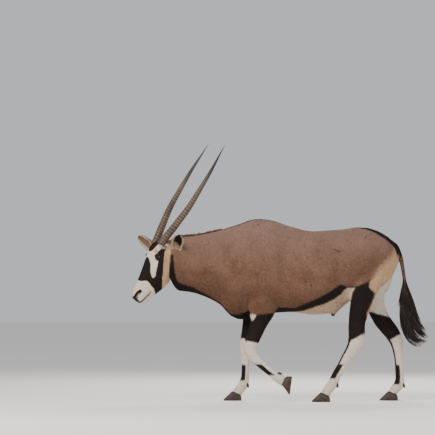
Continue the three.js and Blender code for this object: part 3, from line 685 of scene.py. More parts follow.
def with_lids(local):
    """The skin round each eye, drawn into two lids over the eyeball."""
    for side in (LEFT, RIGHT):
        centre = np.array([EYE_CENTRE[0], EYE_CENTRE[1], -side * EYE_CENTRE[2]])
        own = local - centre
        length = np.linalg.norm(own, axis=1)
        near = (-side * own[:, 2] > 2) & (length < LID_REACH)
        u = own[:, 0] + LID_SLANT * own[:, 1]
        v = own[:, 1] - LID_SLANT * own[:, 0]
        level = (u / LID_HALF) ** 2 + np.abs(v) / LID_HIGH
        lid = EYE_RADIUS + LID_RISE
        share = smooth_step(1.0, LID_EDGE, level)
        inside = (EYE_RADIUS - EYE_SINK) * (1 - share) + np.minimum(length, lid) * share
        held = smooth_step(LID_EDGE, LID_END, level)
        wanted = np.where(level < LID_EDGE, inside, lid * (1 - held) + length * held)
        wanted -= LID_FOLD * np.exp(-(((level - CREASE_AT) / CREASE_WIDTH) ** 2)) * (v > -4)
        local = centre + own * np.where(near, wanted / length, 1)[:, None]
    return local


def shape_face(points, normals):
    """The skin with its face pressed into it or raised from it."""
    head = np.flatnonzero((points[:, 0] < HEAD_END) & (points[:, 2] > HEAD_BASE))
    place = points[head]
    place = place + normals[head] * face_rise(head_places(place))[:, None]
    points = points.copy()
    points[head] = on_head(with_lids(head_places(place)))
    return points


OTHER_REACH = 30.0  # of the regions whose radius isn't worked out


def round_reach(region, along):
    """The mean radius of each place's region where it lies, which turns angles into lengths."""
    reach = np.full(len(region), OTHER_REACH)
    for number, name in enumerate(REGION_NAMES):
        own = region == number
        if name in ("trunk", "head"):
            rows = table_values(TRUNK if name == "trunk" else HEAD, along[own])
            reach[own] = ((rows[:, 0] - rows[:, 1]) / 2 + rows[:, 2]) / 2
        elif name in LIMB_TABLES:
            reach[own] = table_values(LIMB_TABLES[name], along[own])[:, 3:].mean(1)
    return reach


def nearest_region(points):
    """The region of each place, and its place along the region and round it."""
    grids = [surface(places, round_places(sides)) for _, surface, places, sides in REGIONS]
    owner = []
    for number, grid in enumerate(grids):
        rows, columns = np.indices(grid.shape[:2])
        owner.append(np.stack([np.full_like(rows, number), rows, columns], -1).reshape(-1, 3))
    owner = np.concatenate(owner)
    tree = KDTree(len(owner))
    for i, place in enumerate(np.concatenate([grid.reshape(-1, 3) for grid in grids])):
        tree.insert(place, i)
    tree.balance()
    region, row, column = owner[[tree.find(p)[1] for p in points]].T
    along, angle = np.zeros(len(points)), np.zeros(len(points))
    for number, (_, _, places, sides) in enumerate(REGIONS):
        own = region == number
        if not own.any():
            continue
        grid, r, c = grids[number], row[own], column[own]
        up, down = np.minimum(r + 1, len(places) - 1), np.maximum(r - 1, 0)
        along_way = (grid[up, c] - grid[down, c]) / (places[up] - places[down])[:, None]
        turn = 2 * math.pi / sides
        round_way = (grid[r, (c + 1) % sides] - grid[r, c - 1]) / (2 * turn)
        away = points[own] - grid[r, c]
        aa, bb = (along_way**2).sum(1), (round_way**2).sum(1) + TINY
        ab = (along_way * round_way).sum(1)
        pa, pb = (away * along_way).sum(1), (away * round_way).sum(1)
        split = np.maximum(aa * bb - ab * ab, 1e-6 * aa * bb)
        step = (places[-1] - places[0]) / (len(places) - 1)
        along[own] = places[r] + np.clip((pa * bb - pb * ab) / split, -step, step)
        angle[own] = c * turn + np.clip((pb * aa - pa * ab) / split, -turn, turn)
    return region, along, angle


# Markings of the face: along it, and degrees round it from its middle. They are mirrored.
FOREHEAD_BLACK = [
    [-70, -30], [-70, 8], [-60, 24], [-20, 27], [5, 25], [24, 19], [36, 9], [39, -30],
]
MASK_BLACK = [
    [78, -30], [78, 2], [80, 13], [97, 26], [122, 41], [168, 56], [190, 71], [196, 81], [176, 86],
    [149, 78], [117, 72], [79, 64], [62, 55], [45, 50], [25, 46], [8, 50], [-14, 50], [-40, 58],
    [-40, 66], [-14, 68], [14, 74], [32, 80], [54, 85], [80, 90], [111, 97], [135, 104], [164, 109],
    [192, 125], [219, 149], [235, 210], [285, 210], [276, 151], [265, 125], [255, 113], [247, 96],
    [237, 82], [230, 63], [248, 33], [250, -30],
]
FACE_WHITE = [
    [30, -30], [90, -30], [100, 30], [205, 82], [190, 95], [100, 76], [30, 62], [-20, 58], [-45, 62],
    [-60, 42], [-58, 24], [-20, 27], [5, 25], [24, 19], [36, 9],
]
MUZZLE_WHITE = [
    [236, -30], [236, 63], [243, 85], [255, 113], [276, 151], [285, 210], [430, 210], [430, -30],
]
# Markings of the body: x and height. They are on both sides.
FLANK_TOP = [
    [8, 628], [25, 635], [125, 632], [186, 658], [251, 686], [317, 719], [373, 752], [405, 775],
    [428, 791], [450, 783], [473, 774], [545, 776],
]
FLANK_BOTTOM = [
    [545, 766], [500, 765], [470, 770], [456, 752], [434, 725], [384, 691], [329, 664], [252, 638],
    [187, 615], [105, 604], [21, 600], [4, 606],
]
BELLY_LINE = [
    [-30, 560], [105, 600], [187, 612], [252, 634], [329, 660], [384, 687], [434, 720], [456, 748],
    [480, 768], [540, 768], [560, 720], [560, 480], [-30, 480],
]
KEEL_DARK = [
    [-705, 92], [-690, 80], [-650, 55], [-600, 45], [-500, 25], [-400, 16], [-300, 18], [-240, 40],
    [-180, 62], [-110, 78], [-40, 72], [20, 46], [60, 10], [90, -30],
]
THROAT_RING = [[-716, 700], [-704, 990], [-690, 992], [-684, 900], [-668, 800], [-640, 700]]
RUMP_BLACK = [
    [440, 0], [506, 4], [558, 32], [610, 58], [662, 78], [716, 88], [756, 88], [799, 74], [835, 62],
    [870, 50],
]
BUTTOCK_CREAM = [
    [860, 1060], [800, 1030], [774, 988], [731, 945], [688, 893], [658, 841], [636, 798], [650, 780],
    [900, 780],
]
# Markings of the hind legs: x from the leg's middle, and height.
THIGH_BLACK = [
    [-63, 772], [-30, 791], [5, 808], [21, 830], [12, 802], [28, 764], [69, 732], [73, 708], [57, 641],
    [48, 597], [66, 556], [95, 530], [95, 474], [30, 450], [-30, 416], [-95, 385], [-120, 628],
    [-77, 673], [-75, 713], [-78, 747],
]
THIGH_CREAM = [
    [75, 860], [57, 946], [47, 907], [53, 863], [34, 826], [17, 802], [30, 764], [72, 734], [77, 708],
    [61, 641], [52, 597], [70, 556], [160, 540], [160, 860],
]
FORELEG_BLACK_TOP, FORELEG_BLACK_END = 594, 404
FORELEG_FAR_END = 416
# The dark skin of the nose's tip: along the face and above the brow's line.
NOSE_DARK = [[366, -34], [372, -26], [390, -30], [395, -80], [380, -72], [372, -52]]
# The top and end of the dark patch on each cannon.
CANNON_PATCH = {
    "foreleg_left": (254, 180), "foreleg_right": (245, 138),
    "hindleg_left": (255, 158), "hindleg_right": (245, 111),
}
LEG_SPOT = [[-170, 592], [-126, 590], [-136, 566], [-152, 544], [-162, 556]]
THIGH_FOLD = [[478, 764], [530, 764], [560, 560], [455, 700]]
SCAR_WIDTH = 2.6
SCARS = [
    [[190, 800], [196, 815]], [[228, 778], [236, 790]], [[580, 858], [588, 872]],
    [[388, 1025], [425, 1006]], [[598, 1100], [606, 1112]],
]


def outline_distance(corners, u, v):
    """Distance from places to a closed outline, above zero inside it."""
    corners = np.asarray(corners, float)
    best, inside = np.full(u.shape, np.inf), np.zeros(u.shape, bool)
    for (ax, ay), (bx, by) in zip(corners, np.roll(corners, -1, 0)):
        dx, dy = bx - ax, by - ay
        t = np.clip(((u - ax) * dx + (v - ay) * dy) / (dx * dx + dy * dy), 0, 1)
        best = np.minimum(best, (u - ax - t * dx) ** 2 + (v - ay - t * dy) ** 2)
        if ay != by:
            inside ^= ((ay > v) != (by > v)) & (u < dx * (v - ay) / dy + ax)
    return np.where(inside, 1, -1) * np.sqrt(best)


def table_line(rows, at):
    rows = np.asarray(rows, float)
    return np.interp(at, rows[:, 0], rows[:, 1])


def face_angle(local):
    """Degrees round the head from the middle of the face."""
    values = table_values(HEAD, local[:, 0])
    top, bottom, half, widest, ridge, keel = values.T
    middle = bottom + widest * (top - bottom)
    up = local[:, 1] - middle
    reach = np.where(up > 0, top - middle, middle - bottom)
    narrow = np.where(up > 0, ridge, keel)
    out = (np.abs(local[:, 2]) / half) ** (1 / (1 + narrow))
    return np.degrees(np.arctan2(out, up / reach))


FIELD_LIMIT = 4
OUTSIDE = -99.0
# A field is a distance in millimetres over the width of the marking's soft edge, which these are.
SOFT = {
    "keel": 9, "ring": 5, "flank": 6, "belly": 8, "rump": 7, "spine": 5, "buttock": 24, "sheath": 6,
    "scar": 2, "patch": 7, "foreleg": 8, "cuff": 6, "spot": 5, "thigh": 7, "thigh_cream": 12,
    "inner": 10, "hock": 9, "mask": 2.6, "blaze": 3.5, "nostril": 2.5, "lips": 1.8, "nose": 4, "eye": 3,
}
CHEST_REAR, RUMP_FRONT, NECK_BASE = 90, 440, 950
SPINE_HALF, SPINE_COLUMN = 7, 6  # the back's dark line, and where the trunk's table has its middle
INNER_BODY = 175  # how far from the middle the folds of the thighs reach
TAIL_TONE, TAIL_PALEST, TAIL_PALE_AT = 0.55, -0.25, 980
INNER_TOP, INNER_END, INNER_WHITE_TOP = 580, 430, 850
HIND_CUFF, HIND_LINE = 452, (430, 240)
FACE_SCALE = 1.05  # millimetres to a degree round the face
EAR_DARKEST = {LEFT: 1.5, RIGHT: -0.1}


def add(field, where, value):
    """Raises a field to a value at some of its places."""
    np.maximum(field, np.where(where, value, OUTSIDE), out=field)


def least(*values):
    found = values[0]
    for value in values[1:]:
        found = np.minimum(found, value)
    return found


def trunk_fields(dark, white, cream, points, region):
    x, y, z = points.T
    beside = np.abs(y)
    trunk, tail = within(region, "trunk", "sheath"), within(region, "tail")
    body = trunk | within(region, *LEGS)
    values = table_values(TRUNK, x)
    keel = values[:, 1] + table_line(KEEL_DARK, x)
    add(dark, trunk & (x < CHEST_REAR), (keel - z) / SOFT["keel"])
    add(dark, trunk & (z < 1000), outline_distance(THROAT_RING, x, z) / SOFT["ring"])
    flank = outline_distance(FLANK_TOP + FLANK_BOTTOM, x, z) / SOFT["flank"]
    add(dark, body & (x > -10) & (x < 560) & (beside > 40), flank)
    belly = outline_distance(BELLY_LINE, x, z) / SOFT["belly"]
    # the belly is held to cream and only partly white: painted warm shade under the white belly
    add(cream, trunk & (x > -20), np.minimum(3 * belly, 0.5))
    add(white, trunk & (x > -20), np.minimum(belly, -0.35))
    fold = outline_distance(THIGH_FOLD, x, z) / SOFT["belly"]
    add(cream, body & (beside < INNER_BODY), 2 * fold)
    add(white, body & (beside < INNER_BODY), np.minimum(fold, -0.1))
    stripe = np.minimum((table_line(RUMP_BLACK, x) - beside) / SOFT["rump"], (z - 985) / 22)
    add(dark, (trunk | tail) & (x > RUMP_FRONT), stripe)
    spine = (SPINE_HALF - np.abs(y - values[:, SPINE_COLUMN])) / SOFT["spine"]
    add(dark, trunk & (x > -720) & (x < RUMP_FRONT) & (z > NECK_BASE), spine)
    add(cream, ~within(region, "head"), outline_distance(BUTTOCK_CREAM, x, z) / SOFT["buttock"])
    add(dark, tail, TAIL_TONE + np.clip((z - TAIL_PALE_AT) / 60, TAIL_PALEST, 1))
    add(dark, within(region, "sheath"), (592 - z) / SOFT["sheath"])
    for scar in SCARS:
        away, _ = line_distance(np.stack([x, z], -1), scar)
        add(dark, trunk & (y < 0), (SCAR_WIDTH - away) / SOFT["scar"])


def foreleg_fields(dark, white, own, inner, forward, places, frontness, side):
    x, z = places
    end = FORELEG_BLACK_END if side == LEFT else FORELEG_FAR_END
    top = FORELEG_BLACK_TOP + 7 * np.clip(forward / 60, -1, 1)
    add(dark, own, np.minimum((top - z) / SOFT["foreleg"], (z - end - 8 * frontness) / SOFT["cuff"]))
    add(white, own, (end + 16 - z) / SOFT["cuff"])
    spot = outline_distance(LEG_SPOT, x, z) / SOFT["spot"]
    small = own & ~inner & (side == LEFT) & (spot > -2)
    dark[small] = np.minimum(dark, -spot)[small]
    add(white, small, spot)


def hindleg_fields(dark, white, cream, own, inner, forward, z, frontness):
    add(dark, own, outline_distance(THIGH_BLACK, forward, z) / SOFT["thigh"])
    add(cream, own & ~inner, outline_distance(THIGH_CREAM, forward, z) / SOFT["thigh_cream"])
    top = INNER_TOP + 22 * frontness
    black = np.minimum((top - z) / SOFT["inner"], (z - INNER_END + 26 * frontness) / SOFT["thigh"])
    inside = np.maximum(np.minimum(dark, (top + 10 - z) / SOFT["inner"]), black)
    dark[own & inner] = inside[own & inner]
    add(white, own & inner, least((z - top) / 12, (INNER_WHITE_TOP - z) / 20, 3))
    add(white, own, (HIND_CUFF - 30 * frontness - z) / SOFT["cuff"])
    first, last = HIND_LINE
    add(dark, own, least((first - z) / SOFT["hock"], (z - last) / SOFT["hock"], (frontness - 0.74) / 0.08))


def face_fields(dark, white, cream, points, region):
    local = head_places(points)
    head = within(region, "head")
    theta = face_angle(local)
    u, v = local[:, 0], theta * FACE_SCALE
    face = head & (u > -100)

    def on_face(*outlines):
        found = [outline_distance([[a, b * FACE_SCALE] for a, b in corners], u, v) for corners in outlines]
        return np.maximum(*found)

    add(dark, face, on_face(FOREHEAD_BLACK, MASK_BLACK) / SOFT["mask"])
    add(white, face, (on_face(FACE_WHITE, MUZZLE_WHITE) + 4) / SOFT["blaze"])
    bump = 1 - np.hypot((u - 22) / 26, (theta - 36) / 15)
    fawn = face & (bump > 0) & (white > -1)
    white[fawn] = np.minimum(white, 2 - 5 * bump)[fawn]
    add(cream, face, 1.5)
    cream[face] = np.minimum(cream, 1.4 - 3 * (1 - smooth_step(-95, -20, u)))[face]
    own = np.stack([local[:, 0], local[:, 1], np.abs(local[:, 2])], -1)
    nostril, _ = line_distance(own * SIDE_VIEW, np.array(NOSTRIL) * SIDE_VIEW)
    lips, run_back = line_distance(own * SIDE_VIEW, np.array(MOUTH) * SIDE_VIEW)
    add(dark, head & (u > 280), (10.5 - nostril) / SOFT["nostril"])
    add(dark, head & (u > 270), (9 - 5 * run_back - lips) / SOFT["lips"])
    add(dark, head, outline_distance(NOSE_DARK, local[:, 0], local[:, 1]) / SOFT["nose"])
    add(dark, head, (28 - np.linalg.norm(own - np.array(EYE_CENTRE), axis=1)) / SOFT["eye"])


def ear_fields(dark, white, cream, region, along, angle):
    for name, side in EAR_SIDES.items():
        ear = within(region, name)
        lining = angle > math.pi
        share = np.clip(along / EAR_LENGTH, 0, 1)
        rim = np.minimum(np.abs(angle - math.pi), np.minimum(angle, 2 * math.pi - angle))
        add(cream, ear, np.where(lining, 0.1, 0.6))
        add(white, ear, (0.5 - rim) / 0.16)
        upper = (share - 0.36 + 0.08 * np.cos(angle)) / 0.06
        # the cups' lining is darkened: partly its black hair, partly painted shade in the hollow
        add(dark, ear & lining, least((rim - 0.7) / 0.22, EAR_DARKEST[side], upper))
        add(dark, ear, np.minimum((share - 0.93) / 0.03, 2))
        add(dark, ear & ~lining & (angle < 1), np.minimum((0.62 - rim) / 0.12, (share - 0.3) / 0.1))


def coat_fields(points, region, along, angle):
    """How far each place lies inside the dark, white and cream parts of the coat, in soft edges."""
    dark, white, cream = (np.full(len(points), OUTSIDE) for _ in range(3))
    trunk_fields(dark, white, cream, points, region)
    x, y, z = points.T
    frontness = np.cos(angle)
    for name, leg in LEGS.items():
        own = within(region, name)
        rows = np.asarray(leg["places"], float)[::-1]
        forward = x - np.interp(z, rows[:, 1], rows[:, 0])
        inner = leg["side"] * y < np.interp(z, rows[:, 1], rows[:, 2])
        if name.startswith("fore"):
            foreleg_fields(dark, white, own, inner, forward, (x, z), frontness, leg["side"])
        else:
            hindleg_fields(dark, white, cream, own, inner, forward, z, frontness)
        top, end = CANNON_PATCH[name]
        patch = np.minimum(top - z, z - end) / SOFT["patch"]
        add(dark, own, np.minimum(patch, (frontness + 0.05) / 0.16))
    face_fields(dark, white, cream, points, region)
    ear_fields(dark, white, cream, region, along, angle)
    return np.clip(np.stack([dark, white, cream], -1), -FIELD_LIMIT, FIELD_LIMIT)


# How steeply the hair falls: everywhere, and more on the lower chest, the neck and the buttocks.
STEEP, STEEP_CHEST, STEEP_NECK, STEEP_BUTTOCK = 0.32, 0.5, 0.15, 2.2
HAIR_TAIL, HAIR_CHEEK, HAIR_BACK = [0.15, 0.0, -1.0], [0.6, 0.0, -0.5], [0.12, 0, 0]
CHEEK_DEGREES = (60, 300)
LEG_STEP = 15


def hair_ways(points, normals, region, along, angle):
    """The way that the hair lies: back and down the body, down the legs and the face, out along the ears."""
    x, z = points[:, 0], points[:, 2]
    steep = STEEP + STEEP_CHEST * (1 - smooth_step(640, 860, z)) * smooth_step(-420, -260, x)
    steep += STEEP_NECK * (1 - smooth_step(-330, -200, x))
    steep += STEEP_BUTTOCK * smooth_step(640, 780, x)
    body = np.stack([np.ones(len(points)), np.zeros(len(points)), -steep], -1)
    ways = body.copy()
    for name, table in LIMB_TABLES.items():
        own = within(region, name)
        run = along[own]
        way = table_values(table, run + LEG_STEP)[:, :3] - table_values(table, run - LEG_STEP)[:, :3]
        share = smooth_step(540, 700, z[own])[:, None]
        ways[own] = (unit(way, TINY) + HAIR_BACK) * (1 - share) + body[own] * share
    ways[within(region, "tail")] = HAIR_TAIL
    head = within(region, "head")
    ways[head] = FACE
    first, last = np.radians(CHEEK_DEGREES)
    ways[head & (angle > first) & (angle < last)] = FACE * 0.5 + HAIR_CHEEK
    for name, side in EAR_SIDES.items():
        ways[within(region, name)] = ear_axes(side)[1]
    ways -= normals * (ways * normals).sum(1)[:, None]
    return unit(ways, TINY)


def add_vectors(mesh, **layers):
    """Named vectors on a mesh, one for each of its points."""
    for name, values in layers.items():
        layer = mesh.attributes.new(name, "FLOAT_VECTOR", "POINT")
        layer.data.foreach_set("vector", values.ravel())


FACE_SETTLE = 0.25
FINE_END, FINE_FACTOR = -640, 10  # where the skin keeps small faces, and how strongly
CANNON_TOP = 420  # below it the coat is as short as the face's
BARE_EYE = 30


def finish_skin(skin, mesh):
    """The skin with its face, thinned away from the head, and sunk below the tips of its coat."""
    points = shape_face(read_points(mesh), read_normals(mesh))
    settle = np.where(points[:, 0] < HEAD_END, FACE_SETTLE, 0.0)
    points = smoothed(points, read_edges(mesh), settle, 1)
    write_points(mesh, points)
    group = skin.vertex_groups.new(name="fine")
    head = (points[:, 0] < FINE_END) & (points[:, 2] > HEAD_BASE)
    for weight, where in ((1, head), (0, ~head)):
        group.add([int(i) for i in np.flatnonzero(where)], weight, "REPLACE")
    thin = skin.modifiers.new("thin", "DECIMATE")
    thin.ratio = SKIN_TRIANGLES / (2 * len(mesh.polygons))
    thin.vertex_group = "fine"
    thin.invert_vertex_group = True
    thin.vertex_group_factor = FINE_FACTOR
    mesh = applied(skin)
    points, normals = read_points(mesh), read_normals(mesh)
    region, along, angle = nearest_region(points)
    depth = np.full(len(points), COAT_DEPTH)
    depth[within(region, "head", *EAR_SIDES) | (points[:, 2] < CANNON_TOP)] = FACE_COAT_DEPTH
    eye = head_places(points)
    eye[:, 2] = np.abs(eye[:, 2])
    depth[np.linalg.norm(eye - np.array(EYE_CENTRE), axis=1) < BARE_EYE] = 0
    fields = coat_fields(points, region, along, angle)
    lie = np.stack([along, angle * round_reach(region, along), np.zeros(len(points))], -1)
    add_vectors(mesh, coat_fields=fields, coat_lie=lie)
    write_points(mesh, points - normals * depth[:, None] + ORIGIN / MM)
    mesh.shade_smooth()
    return mesh


def node_of(tree, kind, **inputs):
    node = tree.nodes.new(kind)
    for name, value in inputs.items():
        node.inputs[name.replace("_", " ")].default_value = value
    return node


def fed(tree, socket, value):
    """Sets a socket to a number or colour, or links another socket to it."""
    if isinstance(value, (int, float, list)):
        socket.default_value = value
    else:
        tree.links.new(value, socket)


def srgb(red, green, blue):
    """A colour given as it looks on a screen, as a linear one."""
    parts = [c / 255 for c in (red, green, blue)]
    return [c / 12.92 if c <= 0.04045 else ((c + 0.055) / 1.055) ** 2.4 for c in parts] + [1]


def object_place(tree):
    return tree.nodes.new("ShaderNodeTexCoord").outputs["Object"]


def attribute(tree, name, output="Fac"):
    found = tree.nodes.new("ShaderNodeAttribute")
    found.attribute_name = name
    return found.outputs[output]


def split(tree, vector):
    found = tree.nodes.new("ShaderNodeSeparateXYZ")
    tree.links.new(vector, found.inputs[0])
    return found.outputs


def noise(tree, where, scale, detail=3.0, rough=0.55):
    found = node_of(tree, "ShaderNodeTexNoise", Scale=scale, Detail=detail, Roughness=rough)
    tree.links.new(where, found.inputs["Vector"])
    return found.outputs["Fac"]


def ramped(tree, value, low, high, start=0.0, end=1.0):
    limits = {"From_Min": low, "From_Max": high, "To_Min": start, "To_Max": end}
    found = node_of(tree, "ShaderNodeMapRange", **limits)
    found.interpolation_type = "SMOOTHSTEP"
    tree.links.new(value, found.inputs["Value"])
    return found.outputs["Result"]


def combined(tree, kind, first, second):
    found = tree.nodes.new("ShaderNodeMath")
    found.operation = kind
    for socket, value in zip(found.inputs, (first, second)):
        fed(tree, socket, value)
    return found.outputs[0]


def mixed(tree, share, first, second, kind="MIX"):
    found = tree.nodes.new("ShaderNodeMix")
    found.data_type = "RGBA"
    found.blend_type = kind
    sockets = {socket.identifier: socket for socket in found.inputs}
    for name, value in (("Factor_Float", share), ("A_Color", first), ("B_Color", second)):
        fed(tree, sockets[name], value)
    return next(socket for socket in found.outputs if socket.type == "RGBA")


def new_material(name):
    material = bpy.data.materials.new(name)
    material.use_nodes = True
    tree = material.node_tree
    return material, tree, tree.nodes["Principled BSDF"]


def set_inputs(shader, **values):
    for name, value in values.items():
        shader.inputs[name.replace("_", " ")].default_value = value


def bumped(tree, shader, height, strength, distance):
    bump = node_of(tree, "ShaderNodeBump", Strength=strength, Distance=distance)
    tree.links.new(height, bump.inputs["Height"])
    tree.links.new(bump.outputs["Normal"], shader.inputs["Normal"])


FAWN = srgb(132, 97, 79)
FAWN_PALE = srgb(156, 121, 102)
FAWN_DARK = srgb(106, 73, 55)
# partly the back's own greyer coat, partly painted highlight from above
BACK_GREY_AND_HIGHLIGHT = srgb(158, 130, 118)
CREAM = srgb(206, 168, 132)
WHITE = srgb(228, 214, 198)
BLACK = srgb(34, 26, 24)
BLACK_WARM = srgb(58, 42, 35)
# Noises of the coat: scale, detail and roughness. The hair's runs along its lie, so it is stretched.
HAIR_STRETCH = (0.055, 0.42, 1)
HAIR_NOISE, EDGE_NOISE, PATCH_NOISE = (1.0, 4.0, 0.65), (85.0, 3.0, 0.6), (7.0, 3.0, 0.5)
SPECK_NOISE = (46.0, 1.0)
EDGE_STRAY = 2.2  # how far the edges of the markings wander, in soft edges


def coat_material():
    """Fawn coat with cream, white and black parts, whose edges follow the hair."""
    material, tree, shader = new_material("gemsbok_coat")
    parts = split(tree, attribute(tree, "coat_fields", "Vector"))
    strand = tree.nodes.new("ShaderNodeMapping")
    strand.inputs["Scale"].default_value = HAIR_STRETCH
    tree.links.new(attribute(tree, "coat_lie", "Vector"), strand.inputs["Vector"])
    place = object_place(tree)
    hair = noise(tree, strand.outputs["Vector"], *HAIR_NOISE)
    edge = noise(tree, place, *EDGE_NOISE)
    stray = combined(tree, "MULTIPLY", combined(tree, "SUBTRACT", edge, 0.5), EDGE_STRAY)
    height = split(tree, place)["Z"]
    colour = mixed(tree, ramped(tree, noise(tree, place, *PATCH_NOISE), 0.3, 0.7), FAWN_DARK, FAWN)
    for source, low, high, most, tint in (
        (hair, 0.35, 0.75, 0.55, FAWN_PALE),
        # painted highlight: lighter and greyer towards the top of the back, partly the back's own greyer coat
        # and partly light from above
        (height, 0.85, 1.2, 0.6, BACK_GREY_AND_HIGHLIGHT),
        # painted shade: darker and browner from 0.9 m high downwards, low on the body
        (height, 0.9, 0.6, 0.45, FAWN_DARK),
        (noise(tree, place, *SPECK_NOISE), 0.7, 0.78, 0.55, BLACK_WARM),
    ):
        colour = mixed(tree, ramped(tree, source, low, high, 0, most), colour, tint)
    black = mixed(tree, ramped(tree, hair, 0.45, 0.85, 0, 0.6), BLACK, BLACK_WARM)
    for axis, ink, soft in (("Z", CREAM, 1.2), ("Y", WHITE, 1), ("X", black, 0.9)):
        level = combined(tree, "ADD", parts[axis], stray)
        colour = mixed(tree, ramped(tree, level, -soft, soft), colour, ink)
    tone = ramped(tree, hair, 0.25, 0.75, 0.7, 1.16)
    grey = tree.nodes.new("ShaderNodeCombineXYZ")
    for socket in grey.inputs:
        tree.links.new(tone, socket)
    colour = mixed(tree, 1.0, colour, grey.outputs[0], "MULTIPLY")
    tree.links.new(colour, shader.inputs["Base Color"])
    set_inputs(shader, Roughness=0.78, Specular_IOR_Level=0.18)
    bumped(tree, shader, hair, 0.55, 0.0022)
    return material


def grained_material(name, grain, low, first, second, rough, gloss, bump=None):
    """A material that goes from one colour to another with its place. Bump is a strength and a distance."""
    material, tree, shader = new_material(name)
    tone = noise(tree, object_place(tree), *grain)
    colour = mixed(tree, ramped(tree, tone, low, 0.7), srgb(*first), srgb(*second))
    tree.links.new(colour, shader.inputs["Base Color"])
    set_inputs(shader, Roughness=rough, Specular_IOR_Level=gloss)
    if bump:
        bumped(tree, shader, tone, *bump)
    return material


def horn_material():
    """Brown horn, darker in its grooves and towards its smooth tip."""
    material, tree, shader = new_material("horn_sheath")
    along, crest = attribute(tree, "horn_share"), attribute(tree, "horn_crest")
    place = object_place(tree)
    grain = noise(tree, place, 160.0, 4.0, 0.6)
    patch = noise(tree, place, 14.0, 2.0)
    colour = mixed(tree, ramped(tree, patch, 0.3, 0.7), srgb(66, 52, 40), srgb(94, 76, 58))
    for source, low, high, most, tint in (
        (grain, 0.4, 0.8, 0.4, (124, 104, 82)),
        (crest, 0.75, 0.1, 0.75, (40, 30, 22)),
        (along, 0.5, 0.72, 1, (38, 30, 27)),
    ):
        colour = mixed(tree, ramped(tree, source, low, high, 0, most), colour, srgb(*tint))
    tree.links.new(colour, shader.inputs["Base Color"])
    tree.links.new(ramped(tree, along, 0.45, 0.75, 0.58, 0.34), shader.inputs["Roughness"])
    bumped(tree, shader, grain, 0.4, 0.0008)
    return material


COAT = coat_material()
HORN_BROWN = horn_material()
LONG_HAIR, HOOF_GRAIN, EYE_GRAIN = (60.0, 2.0), (90.0, 4.0, 0.6), (120.0, 3.0)
HAIR_BLACK = grained_material("dark_long_hair", LONG_HAIR, 0.3, (22, 17, 16), (52, 40, 34), 0.6, 0.3)
HAIR_BROWN = grained_material("brown_long_hair", LONG_HAIR, 0.3, (70, 44, 33), (120, 80, 58), 0.6, 0.3)
HAIR_PALE = grained_material("pale_long_hair", LONG_HAIR, 0.3, (176, 150, 124), (214, 196, 174), 0.6, 0.3)
HOOF = grained_material("hoof_wall", HOOF_GRAIN, 0.35, (36, 26, 21), (72, 54, 44), 0.5, 0.4, (0.35, 0.001))
EYE = grained_material("eye_wet", EYE_GRAIN, 0.35, (20, 12, 9), (46, 28, 18), 0.07, 0.32)


def settled(piece, nodes=()):
    """Puts a piece on the one body and hides the nodes that it replaces."""
    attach(piece, "root")
    if nodes:
        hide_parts(*nodes)


def dressed(name, points, faces, material, nodes=()):
    """A finished piece from places in the animal's frame."""
    mesh = mesh_from(name, to_row(points), faces)
    mesh.shade_smooth()
    mesh.materials.append(material)
    piece = add_object(name, mesh)
    settled(piece, nodes)
    return piece


FLESH = [
    "head", "neck", "torso", *EAR_SIDES, "tail_dock",
    *(f"{leg}_{part}" for leg in LEGS for part in ("upper", "lower")),
]
SKIN, RAW = make_skin()
SKIN_MESH = finish_skin(SKIN, RAW)
SKIN.name = "skin"
SKIN_MESH.materials.append(COAT)
settled(SKIN, FLESH)

random = np.random.default_rng(7)

# Tufts of each part of the coat: how many, length, width, thickness, and how far the tip stands off.
TUFTS = {
    "neck": (48000, 15, 3, 0.7, 2),
    "shoulder": (48000, 15, 3.2, 0.7, 1.9),
    "flank": (48000, 15, 3.2, 0.7, 1.9),
    "haunch": (48000, 15, 3.2, 0.7, 1.9),
    "legs": (46000, 10, 2.4, 0.6, 1.1),
    "face": (46000, 6.2, 1.6, 0.45, 0.9),
}
NECK_END, SHOULDER_END, FLANK_END = -300, 60, 440
LEG_TOP, HOOF_TOP = 560, 34
BARE_LIDS, BARE_NOSTRIL, BARE_LIPS = 25.5, 9, 5
TUFT_SWERVE, TUFT_DRIFT = 0.16, 2.5
# A tuft's own patch, and the chart of each region: how far apart they lie, their edge and their size.
TUFT_PATCH = 0.003
CHARTS_ACROSS, CHART_STEP, CHART_EDGE, CHART_SIZE = 4, 0.25, 0.01, 0.22
# The corners of a tuft's faces. The first two are its root, the third its middle and the last its tip.
TUFT_FACES = np.array([[0, 2, 1], [0, 3, 2], [1, 2, 3], [0, 1, 3]])


def skin_triangles():
    SKIN_MESH.calc_loop_triangles()
    return read_values(SKIN_MESH.loop_triangles, "vertices", np.int64)


def scattered(triangles, points, count, weight):
    """Places scattered over the skin: their triangles, and their shares of the triangles' corners."""
    a, b, c = (points[triangles[:, k]] for k in range(3))
    area = np.linalg.norm(np.cross(b - a, c - a), axis=1) * weight
    total = np.cumsum(area)
    steps = (np.arange(count) + random.random(count)) / count * total[-1]
    chosen = np.searchsorted(total, steps)
    u, v = random.random(count), random.random(count)
    over = u + v > 1
    u[over], v[over] = 1 - u[over], 1 - v[over]
    return chosen, np.stack([1 - u - v, u, v], -1)


def tuft_parts(region, middle):
    """Which triangles of the skin each part of the coat grows on."""
    x, z = middle[:, 0], middle[:, 2]
    face = within(region, "head", *EAR_SIDES)
    leg = within(region, *LEGS) & (z < LEG_TOP)
    body = ~face & ~leg
    local = head_places(middle)
    local[:, 2] = np.abs(local[:, 2])
    eye = np.linalg.norm(local - np.array(EYE_CENTRE), axis=1)
    nostril, _ = line_distance(local, NOSTRIL)
    lips, _ = line_distance(local, MOUTH)
    bare = (eye < BARE_LIDS) | (nostril < BARE_NOSTRIL) | (lips < BARE_LIPS)
    return {
        "neck": body & (x < NECK_END),
        "shoulder": body & (x >= NECK_END) & (x < SHOULDER_END),
        "flank": body & (x >= SHOULDER_END) & (x < FLANK_END),
        "haunch": body & (x >= FLANK_END),
        "legs": leg & (z >= HOOF_TOP),
        "face": face & ~bare,
    }


